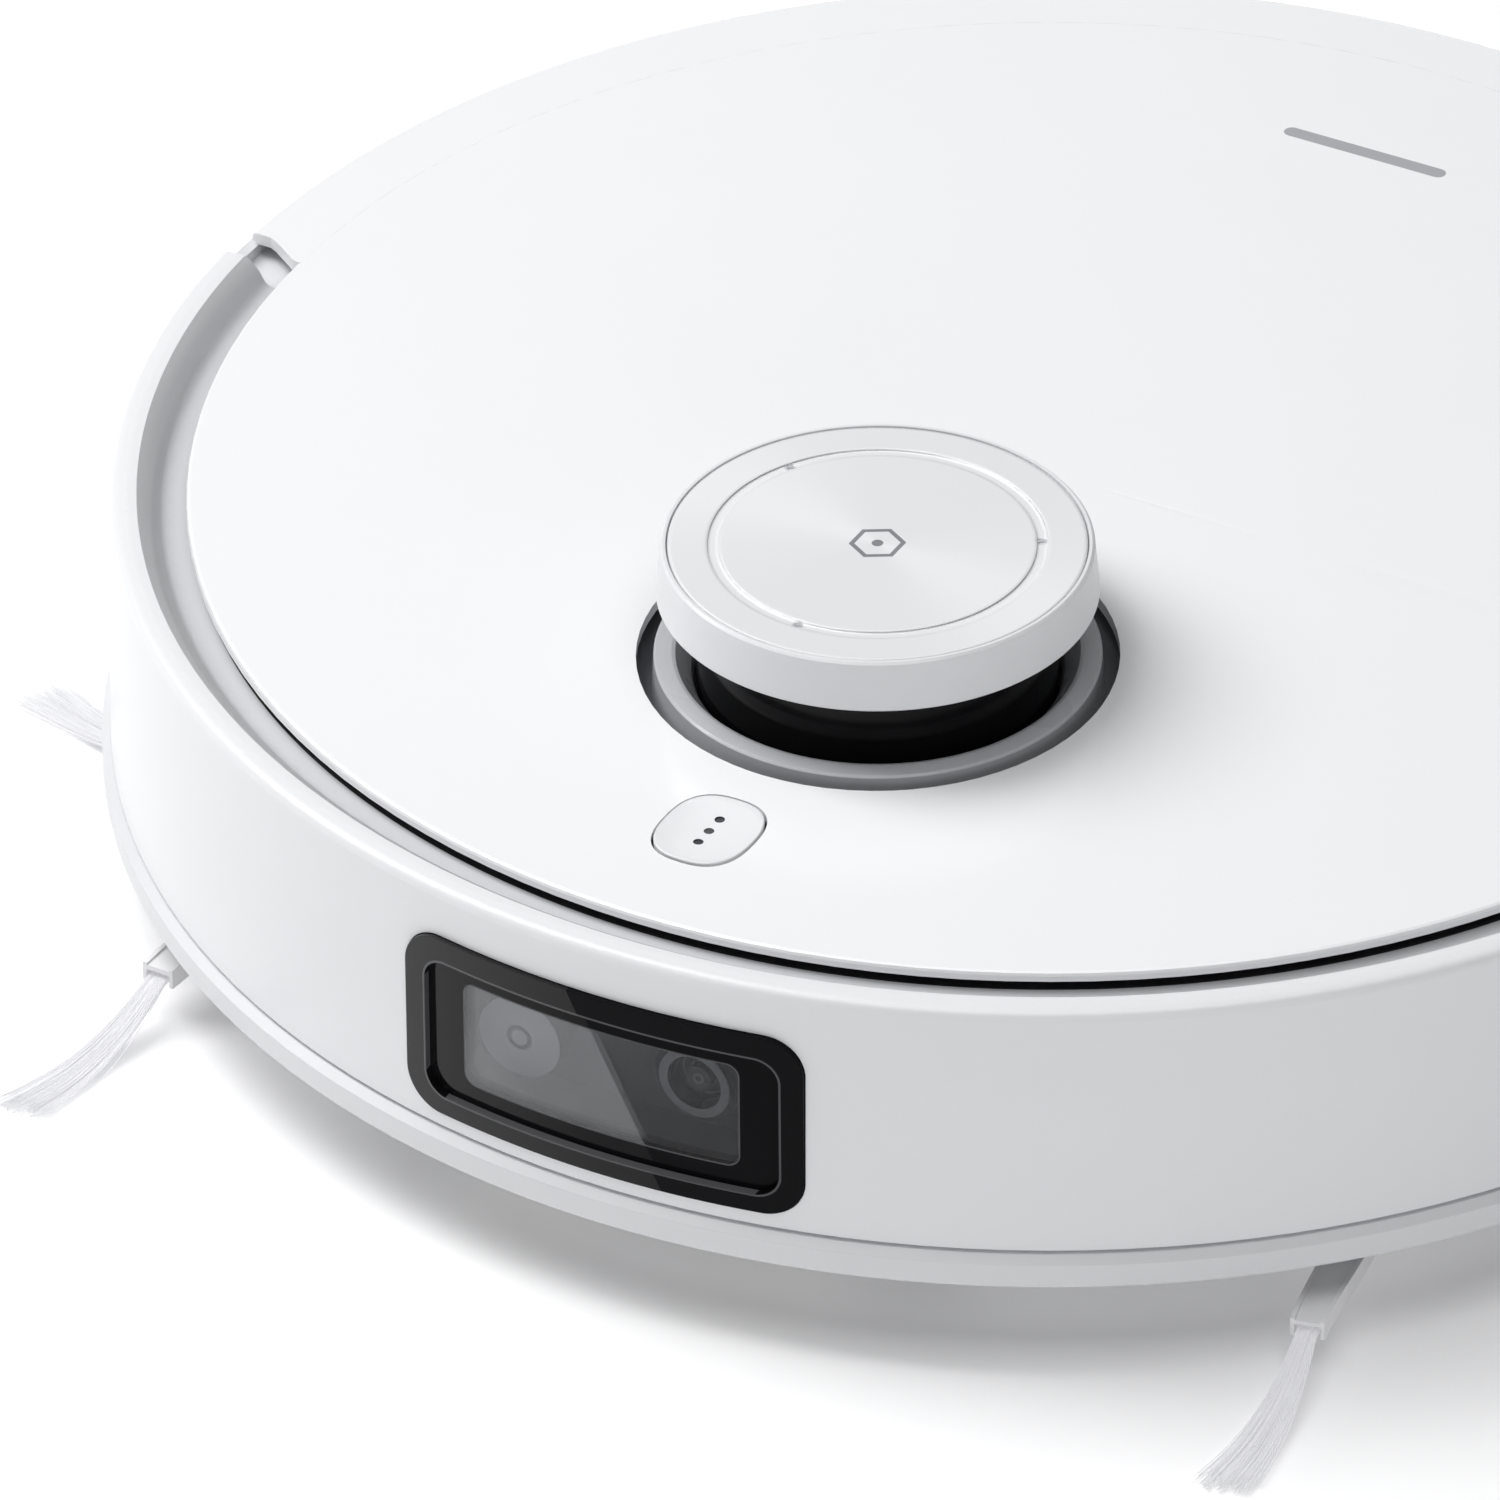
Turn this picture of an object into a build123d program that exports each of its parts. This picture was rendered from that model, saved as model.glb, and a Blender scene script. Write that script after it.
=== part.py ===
from build123d import *
import math
import os

os.makedirs("parts", exist_ok=True)

# Robotic floor cleaner, millimetres.  Origin: middle of the body on the floor.
# +Z up, the front (bumper) faces -Y.

# ---------------------------------------------------------------- driving dimensions
BODY_R = 178.5            # rear shell and bumper wall
LIP_R = 181.0             # soft lip round the bottom edge
LIP_Z = (18.9, 25.6)
PAN_Z = (14.0, 16.5)      # chassis floor
FRONT_WALL_R = 168.5      # chassis wall behind the bumper
WALL = 2.5
SHELL_TOP = 74.5          # top of the rear shell
SHELF_TOP = 72.0          # ledge under the notch between bumper and cover
SHELF_Y = (-14.0, 9.0)
DECK_FRONT = (69.5, 71.5)
DECK_REAR = (71.5, 73.5)
SPLIT_Y = -1.0            # where the rear shell starts
BUMPER_END_Y = -5.2
BUMPER_TRAVEL = 3.5
BUMPER_IN_R = 176.9
COVER_Z = 75.0
COVER_APEX = 78.9
COVER_FRONT_R = 163.7
COVER_REAR_R = 177.0
DOME_R = 10000.0
TURRET_Y = -68.5
TURRET_HOLE_R = 45.3
CAP_Z = (93.15, 103.5)
CAP_R = (41.5, 40.4)
BUTTON_Y = -134.0
BUTTON_HALF = (9.1, 11.0)
WINDOW_HALF = 41.8        # camera window half width and heights
WINDOW_Z = (29.3, 68.4)
GLASS_HALF = 37.2
GLASS_Z = (33.2, 63.4)
BRUSH_Y = -58.0           # main brush
BRUSH_Z = 23.2
BRUSH_R = 20.5
BRUSH_HALF = 68.0
SIDE_HUB = (116.0, -93.0)
SIDE_ARM_R = 44.5
SIDE_TIP_R = 87.5
SIDE_ANGLE_LEFT = (-92.0, 151.0, 29.5)     # direction of each holder's tip
SIDE_ANGLE_RIGHT = (-76.8, 43.2, 163.2)
SIDE_LEAN_LEFT = (-4.0, 3.0, -4.0)         # how far each tuft trails round from its holder
SIDE_LEAN_RIGHT = (-4.2, -4.2, -4.2)
WHEEL_R = 34.0
WHEEL_Y = 16.0
WHEEL_X = (108.5, 127.0)
ARM_X = (96.0, 107.0)
PIVOT = (WHEEL_Y + 48.0, 52.0)             # arm pivot, y and z
PINION_AT = (WHEEL_Y + 14.14, 48.14)
GEAR_M = 1.0
GEAR_T = (10, 30)
GEAR_X = (99.0, 104.0)
CASTER_Y = -124.0
CASTER_R = 15.0
CASTER_TRAIL = 8.0
BIN = (66.0, -16.0, 48.0)     # dustbin half width, front and back
BIN_Z = (30.5, 61.5)
LID_HINGE = (45.0, 64.6)      # lid hinge axis, y and z
LID_EDGE_R = 3.0              # round rear edge of the lid
LID_EAR_X = (50.0, 54.0)
FAN_Y = 90.0
BELT_R = 26.0
LIDAR_MOTOR = (40.0, -100.0)
POSTS = [(84.0, -124.0), (150.0, -12.0), (142.0, 78.0), (88.0, 138.0)]
POSTS = [(s * x, y) for x, y in POSTS for s in (-1, 1)]
RUN = 0.05                # running clearance on radius


def save(part, name):
    """Label one finished sub-part and write its STEP file."""
    part.label = name
    export_step(part, "parts/" + name + ".step")


def at_y(r, deg):
    """Point on a circle, measured from +X."""
    a = math.radians(deg)
    return (r * math.cos(a), r * math.sin(a))


def section(points):
    """Closed polygon face on the open sketch."""
    Polygon(*points, align=None)


def squircle(half_x, half_y, power, steps=48):
    """Points of a superellipse."""
    pts = []
    for i in range(steps):
        a = 2 * math.pi * i / steps
        c, s = math.cos(a), math.sin(a)
        x = half_x * math.copysign(abs(c) ** (2 / power), c)
        y = half_y * math.copysign(abs(s) ** (2 / power), s)
        pts.append((x, y))
    return pts


def involute_points(teeth, module, thickness):
    """Outline of a spur gear with involute flanks; thickness is tooth / pitch."""
    pitch_r = teeth * module / 2
    base_r = pitch_r * math.cos(math.radians(20))
    tip_r = pitch_r + 0.9 * module
    root_r = pitch_r - 1.15 * module
    roll_pitch = math.sqrt((pitch_r / base_r) ** 2 - 1)
    inv_pitch = roll_pitch - math.atan(roll_pitch)
    half = math.pi * thickness / teeth
    start_r = max(base_r, root_r)
    flank = []
    for i in range(5):
        r = start_r + (tip_r - start_r) * i / 4
        roll = math.sqrt(max((r / base_r) ** 2 - 1, 0))
        flank.append((r, half + inv_pitch - (roll - math.atan(roll))))
    pts = []
    for k in range(teeth):
        mid = 2 * math.pi * k / teeth
        tooth = [(root_r, -flank[0][1])] if root_r < start_r else []
        tooth += [(r, -a) for r, a in flank]
        tooth += [(r, a) for r, a in reversed(flank)]
        tooth += [(root_r, flank[0][1])] if root_r < start_r else []
        pts += [(r * math.cos(mid + a), r * math.sin(mid + a)) for r, a in tooth]
    return pts


def axle_plane(x, y, z, side=1):
    """Plane facing +X (or -X) through a point, its own x axis along body +Y."""
    return Plane(origin=(side * x, y, z), x_dir=(0, 1, 0), z_dir=(side, 0, 0))


# ================================================================ chassis
with BuildPart() as chassis_base:
    # floor pan
    with BuildSketch(Plane.XY.offset(PAN_Z[0])):
        Circle(FRONT_WALL_R)
        Circle(BODY_R - WALL)
        with Locations((0, -200 + SPLIT_Y)):
            Rectangle(400, 400, mode=Mode.SUBTRACT)
        Circle(FRONT_WALL_R)
    extrude(amount=PAN_Z[1] - PAN_Z[0])
    # wall behind the bumper
    with BuildSketch(Plane.XY.offset(PAN_Z[1])):
        Circle(FRONT_WALL_R)
        Circle(FRONT_WALL_R - WALL, mode=Mode.SUBTRACT)
        with Locations((0, 200 + SPLIT_Y)):
            Rectangle(400, 400, mode=Mode.SUBTRACT)
    extrude(amount=DECK_FRONT[1] + 0.6 - PAN_Z[1])
    # rear shell with the lip moulded on
    with BuildSketch(Plane.XZ):
        section([(172.0, 14.0), (176.0, 14.0), (180.4, LIP_Z[0]), (LIP_R, 19.6),
                      (LIP_R, 24.2), (179.4, LIP_Z[1]), (178.4, LIP_Z[1]), (178.4, 26.4),
                      (179.3, 26.4), (178.8, 60.0), (BODY_R - 0.2, SHELL_TOP),
                      (BODY_R - WALL, SHELL_TOP), (BODY_R - WALL, PAN_Z[1]), (172.0, PAN_Z[1])])
    revolve(axis=Axis.Z, revolution_arc=360)
    with BuildSketch(Plane.XY.offset(PAN_Z[0] - 1)):
        with Locations((0, -200 + SPLIT_Y)):
            Rectangle(400, 400)
        Circle(FRONT_WALL_R, mode=Mode.SUBTRACT)
    extrude(amount=80, mode=Mode.SUBTRACT)
    # end walls that close the gap between the two shells, and the shelf on top of them
    for side in (-1, 1):
        with BuildSketch(Plane.XY.offset(PAN_Z[0])):
            with Locations((side * 172, SPLIT_Y + 1.25)):
                Rectangle(11.5, WALL)
        extrude(amount=SHELF_TOP - PAN_Z[0])
    with BuildSketch(Plane.XY.offset(SHELF_TOP - 2.0)):
        Circle(BODY_R - WALL + 0.2)
        Circle(FRONT_WALL_R - WALL + 0.3, mode=Mode.SUBTRACT)
        with Locations((0, SHELF_Y[1] + 200), (0, SHELF_Y[0] - 200)):
            Rectangle(400, 400, mode=Mode.SUBTRACT)
    extrude(amount=2.0)
    # screw posts
    with BuildSketch(Plane.XY.offset(PAN_Z[1])):
        with Locations(*POSTS[:4]):
            Circle(4.0)
    extrude(amount=DECK_FRONT[0] - PAN_Z[1])
    with BuildSketch(Plane.XY.offset(PAN_Z[1])):
        with Locations(*POSTS[4:]):
            Circle(4.0)
    extrude(amount=DECK_REAR[0] - PAN_Z[1])
    # caster socket
    with BuildSketch(Plane.XY.offset(PAN_Z[1])):
        with Locations((0, CASTER_Y)):
            Circle(27.0)
    extrude(amount=24.5)
    with BuildSketch(Plane.XY.offset(41.0)):
        with Locations((0, CASTER_Y)):
            Circle(8.0)
    extrude(amount=11.0)
    with BuildSketch(Plane.XY.offset(PAN_Z[0])):
        with Locations((0, CASTER_Y)):
            Circle(25.0)
    extrude(amount=24.0, mode=Mode.SUBTRACT)
    with BuildSketch(Plane.XY.offset(PAN_Z[0])):
        with Locations((0, CASTER_Y)):
            Circle(4.0 + RUN)
    extrude(amount=40.0, mode=Mode.SUBTRACT)
    # brackets that carry the wheel arm pivots
    for side in (-1, 1):
        for x in (91.0, 109.0):
            with BuildSketch(Plane.XY.offset(PAN_Z[1])):
                with Locations((side * (x + 1.5), PIVOT[0])):
                    Rectangle(3.0, 10.0)
            extrude(amount=PIVOT[1] + 5.0 - PAN_Z[1])
        with BuildSketch(axle_plane(91.0, PIVOT[0], PIVOT[1], side)):
            Circle(3.0)
        extrude(amount=21.0)
    # openings: main brush, wheels, side brush shafts
    with BuildSketch(Plane.XY.offset(PAN_Z[0])):
        with Locations((0, BRUSH_Y)):
            Rectangle(156.0, 52.0)
        with Locations((-111.5, WHEEL_Y + 4.0), (111.5, WHEEL_Y + 4.0)):
            RectangleRounded(37.0, 78.0, 4.0)
        with Locations((-SIDE_HUB[0], SIDE_HUB[1]), SIDE_HUB):
            Circle(6.0)
    extrude(amount=WALL, mode=Mode.SUBTRACT)
    # pockets for the cliff sensors and the charging contacts
    with BuildSketch(Plane.XY.offset(PAN_Z[0])):
        with Locations((-50, -148), (50, -148)):
            Rectangle(18.2, 10.2)
        with Locations((-153, -40), (153, -40), (-150, 46), (150, 46)):
            Rectangle(10.2, 18.2)
        with Locations((-22, -157), (22, -157)):
            Rectangle(16.2, 6.2)
    extrude(amount=WALL, mode=Mode.SUBTRACT)
    # clearance for the case screws
    with BuildSketch(Plane.XY.offset(PAN_Z[0])):
        with Locations(*POSTS):
            Circle(3.3)
    extrude(amount=2.2, mode=Mode.SUBTRACT)
    with BuildSketch(Plane.XY.offset(PAN_Z[0])):
        with Locations(*POSTS):
            Circle(1.65)
    extrude(amount=16.0, mode=Mode.SUBTRACT)
    # camera opening through the front wall
    with BuildSketch(Plane.XY.offset(30.0)):
        with Locations((0, -165)):
            Rectangle(78.0, 22.0)
    extrude(amount=37.0, mode=Mode.SUBTRACT)
    # exhaust slots in the rear shell
    for deg in range(66, 115, 3):
        with BuildSketch(Plane.XY.offset(36.0)):
            with Locations(Location((0, 0, 0), (0, 0, deg))):
                with Locations((BODY_R - 1, 0)):
                    Rectangle(9.0, 4.0)
        extrude(amount=20.0, mode=Mode.SUBTRACT)
save(chassis_base.part, "chassis_base")

# ---------------------------------------------------------------- deck
with BuildPart() as mid_deck:
    with BuildSketch(Plane.XY.offset(DECK_FRONT[0])):
        Circle(FRONT_WALL_R - WALL - 0.3)
        with Locations((0, 200 + SPLIT_Y + 2.8)):
            Rectangle(400, 400, mode=Mode.SUBTRACT)
    extrude(amount=DECK_FRONT[1] - DECK_FRONT[0])
    with BuildSketch(Plane.XY.offset(DECK_REAR[0])):
        Circle(BODY_R - WALL - 0.4)
        with Locations((0, -200 + SPLIT_Y + 2.8 - 2.0)):
            Rectangle(400, 400, mode=Mode.SUBTRACT)
        with Locations((-172, SHELF_Y[1] - 4.9), (172, SHELF_Y[1] - 4.9)):
            Rectangle(12.5, 10.8, mode=Mode.SUBTRACT)
    extrude(amount=DECK_REAR[1] - DECK_REAR[0])
    # ring that carries the cover
    with BuildSketch(Plane.XY.offset(DECK_FRONT[1])):
        Circle(146.0)
        Circle(143.0, mode=Mode.SUBTRACT)
        with Locations((0, BUTTON_Y)):
            Rectangle(30.0, 40.0, mode=Mode.SUBTRACT)
    extrude(amount=76.3 - DECK_FRONT[1])
    # well that holds the dustbin
    with BuildSketch(Plane.XY.offset(28.5)):
        with Locations((0, 16.0)):
            Rectangle(138.0, 70.0)
    extrude(amount=DECK_REAR[0] - 28.5)
    with BuildSketch(Plane.XY.offset(BIN_Z[0])):
        with Locations((0, 16.0)):
            Rectangle(134.0, 66.0)
    extrude(amount=60.0, mode=Mode.SUBTRACT)
    with BuildSketch(Plane.XZ.offset(25.0)):
        with Locations((0, 40.0)):
            Rectangle(60.0, 12.0)
    extrude(amount=-10.0, mode=Mode.SUBTRACT)
    with BuildSketch(Plane.XZ.offset(-45.0)):
        with Locations((0, 48.0)):
            Rectangle(52.0, 16.0)
    extrude(amount=-10.0, mode=Mode.SUBTRACT)
    # cradle for the range finder, hung below the deck
    with BuildSketch(Plane.XY.offset(58.0)):
        with Locations((0, TURRET_Y)):
            Circle(36.0)
        with Locations(LIDAR_MOTOR):
            Circle(12.0)
        with Locations((24.0, -88.0)):
            Rectangle(30.0, 24.0)
    extrude(amount=2.0)
    with BuildSketch(Plane.XY.offset(58.0)):
        with Locations(LIDAR_MOTOR):
            Circle(3.0, mode=Mode.ADD)
    extrude(amount=2.0, mode=Mode.SUBTRACT)
    with BuildSketch(Plane.XY.offset(60.0)):
        for deg in (90, 200, 340):
            x, y = at_y(33.5, deg)
            with Locations((x, TURRET_Y + y)):
                Circle(2.2)
    extrude(amount=DECK_FRONT[0] - 60.0)
    with BuildSketch(Plane.XY.offset(DECK_FRONT[0])):
        with Locations((0, TURRET_Y)):
            Circle(30.5)
    extrude(amount=3.0, mode=Mode.SUBTRACT)
    with BuildSketch(Plane.XY.offset(60.0)):
        with Locations((0, TURRET_Y)):
            Circle(5.0)
    extrude(amount=24.0)
    # holes: button stem, power switch, screw posts
    with BuildSketch(Plane.XY.offset(DECK_FRONT[0])):
        with Locations((0, BUTTON_Y)):
            Circle(3.0 + RUN)
        with Locations((86.0, -92.0)):
            Rectangle(9.4, 4.3)
    extrude(amount=3.0, mode=Mode.SUBTRACT)
save(mid_deck.part, "mid_deck")

# ================================================================ cover
with BuildPart() as top_cover:
    # the rear half is wider; its front edge steps out at a slant
    for radius in (COVER_REAR_R, COVER_FRONT_R):
        edge_z = COVER_APEX - radius ** 2 / (2 * DOME_R)
        half_z = COVER_APEX - (radius / 2) ** 2 / (2 * DOME_R)
        with BuildSketch(Plane.XZ):
            with BuildLine():
                Line((0, COVER_APEX), (0, COVER_Z))
                Line((0, COVER_Z), (radius - 1.5, COVER_Z))
                Line((radius - 1.5, COVER_Z), (radius, COVER_Z + 0.6))
                Line((radius, COVER_Z + 0.6), (radius, edge_z - 0.75))
                Line((radius, edge_z - 0.75), (radius - 0.2, edge_z - 0.25))
                Line((radius - 0.2, edge_z - 0.25), (radius - 0.7, edge_z + 0.012))
                ThreePointArc((radius - 0.7, edge_z + 0.012), (radius / 2, half_z), (0, COVER_APEX))
            make_face()
        revolve(axis=Axis.Z, revolution_arc=360)
        if radius == COVER_REAR_R:
            with BuildSketch(Plane.XY.offset(COVER_Z - 1)):
                Polygon((-200, 4.9), (-172.8, 4.4), (-171.2, 3.6), (-165.2, -0.5), (-164.0, -1.0),
                        (164.0, -1.0), (165.2, -0.5), (171.2, 3.6), (172.8, 4.4), (200, 4.9),
                        (200, -200), (-200, -200), align=None)
            extrude(amount=10.0, mode=Mode.SUBTRACT)
    with BuildSketch(Plane.XY.offset(COVER_Z)):
        Circle(150.0)
    extrude(amount=1.3, mode=Mode.SUBTRACT)
    with BuildSketch(Plane.XY.offset(COVER_Z)):
        with Locations((0, TURRET_Y)):
            Circle(TURRET_HOLE_R)
        with Locations((0, BUTTON_Y)):
            section(squircle(BUTTON_HALF[0] + 0.45, BUTTON_HALF[1] + 0.45, 2.6))
    extrude(amount=6.0, mode=Mode.SUBTRACT)
save(top_cover.part, "top_cover")

with BuildPart() as cover_magnets:
    with BuildSketch(Plane.XY.offset(COVER_Z)):
        with Locations((-92, 98), (92, 98), (-110, -68), (110, -68)):
            Circle(5.0)
    extrude(amount=1.3)
save(cover_magnets.part, "cover_magnets")

# ================================================================ bumper
with BuildPart() as bumper:
    # wall, rounded rim, trough and the flange that runs under the cover
    with BuildSketch(Plane.XZ):
        with BuildLine():
            Polyline((BUMPER_IN_R, 73.0), (BUMPER_IN_R, 25.6), (178.3, 25.6), (178.3, 26.4),
                     (179.3, 26.4), (178.9, 60.0), (178.2, 76.4))
            Spline((178.2, 76.4), (177.85, 77.7), (176.9, 78.4), (175.4, 78.62), (173.1, 78.7),
                   tangents=((-0.04, 1.0), (-1.0, -0.02)))
            Spline((173.1, 78.7), (171.2, 77.35), (169.8, 75.75), (168.9, 74.25), (168.0, 73.45),
                   (166.6, 73.22), (165.4, 73.2), tangents=((-1.0, -0.5), (-1.0, 0.0)))
            Polyline((165.4, 73.2), (158.0, 73.2), (158.0, 72.15), (169.0, 72.15), (171.3, 73.2),
                     (173.4, 75.4), (BUMPER_IN_R - 0.6, 75.2), (BUMPER_IN_R, 73.0))
        make_face()
    revolve(axis=Axis.Z, revolution_arc=360)
    # webs that close the rim at both ends
    with BuildSketch(Plane.XZ.offset(-BUMPER_END_Y)):
        for side in (1, -1):
            section([(side * x, z) for x, z in
                     ((168.6, 72.15), (177.1, 72.15), (177.3, 76.6), (176.2, 77.9), (174.0, 78.2),
                      (172.4, 77.6), (171.0, 76.6), (169.6, 74.9), (168.6, 73.3))])
    extrude(amount=2.4)
    with BuildSketch(Plane.XY.offset(20.0)):
        with Locations((0, 200 + BUMPER_END_Y)):
            Rectangle(400, 400)
    extrude(amount=60.0, mode=Mode.SUBTRACT)
    with BuildSketch(Plane.XZ.offset(150.0)):
        with Locations((0, sum(WINDOW_Z) / 2)):
            RectangleRounded(2 * WINDOW_HALF + 0.3, WINDOW_Z[1] - WINDOW_Z[0] + 0.3, 8.0)
    extrude(amount=40.0, mode=Mode.SUBTRACT)
save(bumper.part, "bumper")

with BuildPart() as bumper_lip:
    with BuildSketch(Plane.XZ):
        section([(BUMPER_IN_R, 19.4), (180.4, LIP_Z[0]), (LIP_R, 19.6), (LIP_R, 24.2),
                      (179.4, LIP_Z[1]), (BUMPER_IN_R, LIP_Z[1])])
    revolve(axis=Axis.Z, revolution_arc=360)
    with BuildSketch(Plane.XY.offset(10.0)):
        with Locations((0, 200 + BUMPER_END_Y)):
            Rectangle(400, 400)
    extrude(amount=60.0, mode=Mode.SUBTRACT)
save(bumper_lip.part, "bumper_lip")

with BuildPart() as bumper_springs:
    for x in (-90.0, 90.0):
        with BuildSketch(Plane.XZ.offset(144.6)):
            with Locations((x, 50.0)):
                Circle(3.0)
                Circle(1.8, mode=Mode.SUBTRACT)
        extrude(amount=5.6)
save(bumper_springs.part, "bumper_springs")

with BuildPart() as bumper_switches:
    for deg in (-130.0, -50.0):
        with BuildSketch(Plane(origin=(*at_y(FRONT_WALL_R + 0.1, deg), 44.0),
                               x_dir=(0, 0, 1), z_dir=(*at_y(1.0, deg), 0))):
            Rectangle(8.0, 14.0)
        extrude(amount=3.2)
        with BuildSketch(Plane(origin=(*at_y(FRONT_WALL_R + 3.2, deg), 44.0),
                               x_dir=(0, 0, 1), z_dir=(*at_y(1.0, deg), 0))):
            Rectangle(2.5, 3.0)
        extrude(amount=1.0)
save(bumper_switches.part, "bumper_switches")

# ---------------------------------------------------------------- camera window
with BuildPart() as camera_bezel:
    with BuildSketch(Plane.XY.offset(WINDOW_Z[0])):
        Circle(179.6)
        Circle(176.4, mode=Mode.SUBTRACT)
    extrude(amount=WINDOW_Z[1] - WINDOW_Z[0])
    with BuildSketch(Plane.XZ.offset(150.0)):
        with Locations((0, sum(WINDOW_Z) / 2)):
            RectangleRounded(2 * WINDOW_HALF, WINDOW_Z[1] - WINDOW_Z[0], 7.9)
    extrude(amount=40.0, mode=Mode.INTERSECT)
    with BuildSketch(Plane.XZ.offset(150.0)):
        with Locations((0, sum(GLASS_Z) / 2)):
            RectangleRounded(2 * GLASS_HALF, GLASS_Z[1] - GLASS_Z[0], 5.0)
    extrude(amount=40.0, mode=Mode.SUBTRACT)
save(camera_bezel.part, "camera_bezel")

with BuildPart() as camera_glass:
    with BuildSketch(Plane.XY.offset(GLASS_Z[0])):
        Circle(178.0)
        Circle(176.5, mode=Mode.SUBTRACT)
    extrude(amount=GLASS_Z[1] - GLASS_Z[0])
    with BuildSketch(Plane.XZ.offset(150.0)):
        with Locations((0, sum(GLASS_Z) / 2)):
            RectangleRounded(2 * GLASS_HALF, GLASS_Z[1] - GLASS_Z[0], 5.0)
    extrude(amount=40.0, mode=Mode.INTERSECT)
save(camera_glass.part, "camera_glass")

LENS_LEFT = (-20.7, 46.5)     # sensor centres, x and z
LENS_RIGHT = (16.5, 48.9)
with BuildPart() as camera_housing:
    with BuildSketch(Plane.XY.offset(31.0)):
        Circle(171.4)
        with Locations((0, 47.5)):
            Rectangle(400, 400, mode=Mode.SUBTRACT)
        with Locations((0, -170)):
            Rectangle(77.0, 40.0, mode=Mode.INTERSECT)
    extrude(amount=35.0)
    with BuildSketch(Plane.XY.offset(PAN_Z[1])):
        with Locations((0, -156.5)):
            Rectangle(22.0, 7.0)
    extrude(amount=31.0 - PAN_Z[1])
    with BuildSketch(Plane.XZ.offset(163.0)):
        with Locations((0, 49.1)):
            RectangleRounded(66.0, 28.0, 3.0)
    extrude(amount=14.0, mode=Mode.SUBTRACT)
    with BuildSketch(Plane.XZ.offset(160.0)):
        with Locations(LENS_LEFT):
            Circle(8.5)
        with Locations(LENS_RIGHT):
            Circle(9.0)
    extrude(amount=14.0, mode=Mode.SUBTRACT)
save(camera_housing.part, "camera_housing")

with BuildPart() as camera_modules:
    with BuildSketch(Plane.XZ.offset(160.0)):
        with Locations(LENS_LEFT):
            Circle(8.5)
    extrude(amount=9.6)
    with BuildSketch(Plane.XZ.offset(168.9)):
        with Locations(LENS_LEFT):
            Circle(2.6)
            Circle(1.7, mode=Mode.SUBTRACT)
    extrude(amount=2.0, mode=Mode.SUBTRACT)
    with BuildSketch(Plane.XZ.offset(160.0)):
        with Locations(LENS_RIGHT):
            Circle(9.0)
    extrude(amount=8.6)
    with BuildSketch(Plane.XZ.offset(168.6)):
        with Locations(LENS_RIGHT):
            Circle(7.4)
            Circle(5.6, mode=Mode.SUBTRACT)
    extrude(amount=1.6)
    with BuildSketch(Plane.XZ.offset(166.0)):
        with Locations(LENS_RIGHT):
            Circle(5.6)
            Circle(2.6, mode=Mode.SUBTRACT)
    extrude(amount=3.0, mode=Mode.SUBTRACT)
save(camera_modules.part, "camera_modules")

# ================================================================ button
with BuildPart() as button_key:
    with BuildSketch(Plane.XY.offset(74.4)):
        with Locations((0, BUTTON_Y)):
            section(squircle(BUTTON_HALF[0], BUTTON_HALF[1], 2.6))
    extrude(amount=3.9)
    fillet(button_key.edges().filter_by_position(Axis.Z, 78.2, 78.4), radius=0.3)
    with Locations((0, BUTTON_Y, 78.3 - 0.45 + 110.0)):
        Sphere(110.0, mode=Mode.SUBTRACT)
    with BuildSketch(Plane.XY.offset(77.7)):
        with Locations((0, BUTTON_Y - 4.1), (0, BUTTON_Y), (0, BUTTON_Y + 4.1)):
            Circle(0.95)
    extrude(amount=2.0, mode=Mode.SUBTRACT)
    with BuildSketch(Plane.XY.offset(65.6)):
        with Locations((0, BUTTON_Y)):
            Circle(3.0)
    extrude(amount=8.8)
save(button_key.part, "button_key")

# ================================================================ turret
with BuildPart() as turret_base_ring:
    with BuildSketch(Plane.XZ):
        section([(39.5, 71.5), (42.4, 71.5), (42.0, 78.8), (41.6, 79.2), (38.6, 79.5),
                      (37.9, 79.3), (35.0, 75.6), (34.5, 74.2), (34.5, 72.6), (39.5, 72.6)])
    revolve(axis=Axis.Z, revolution_arc=360)
save(turret_base_ring.part.moved(Location((0, TURRET_Y, 0))), "turret_base_ring")

with BuildPart() as lidar_window:
    with BuildSketch(Plane.XZ):
        section([(0, 97.0), (0, 95.4), (32.0, 95.4), (32.0, DECK_FRONT[1]),
                      (34.0, DECK_FRONT[1]), (34.0, 97.0)])
    revolve(axis=Axis.Z, revolution_arc=360)
save(lidar_window.part.moved(Location((0, TURRET_Y, 0))), "lidar_window")

with BuildPart() as turret_cap:
    with BuildSketch(Plane.XZ):
        section([(34.5, 93.8), (35.0, CAP_Z[0]), (41.0, CAP_Z[0]), (CAP_R[0], 93.6),
                      (40.6, 103.0), (40.1, CAP_Z[1]), (39.5, CAP_Z[1]), (39.4, 102.1),
                      (0, 102.1), (0, 100.6), (38.0, 100.6), (38.4, 95.2), (34.5, 95.2)])
    revolve(axis=Axis.Z, revolution_arc=360)
save(turret_cap.part.moved(Location((0, TURRET_Y, 0))), "turret_cap")

with BuildPart() as turret_cap_plate:
    with BuildSketch(Plane.XY.offset(102.1)):
        Circle(39.2)
    extrude(amount=1.2)
    with BuildSketch(Plane.XY.offset(103.0)):
        Circle(31.75)
        Circle(29.75, mode=Mode.SUBTRACT)
    extrude(amount=1.0, mode=Mode.SUBTRACT)
    with BuildSketch(Plane.XY.offset(102.1)):
        with Locations((0, -30.75), (-26.6, 15.3), (26.6, 15.3)):
            Circle(0.9)
    extrude(amount=2.0, mode=Mode.SUBTRACT)
save(turret_cap_plate.part.moved(Location((0, TURRET_Y, 0))), "turret_cap_plate")

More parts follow.
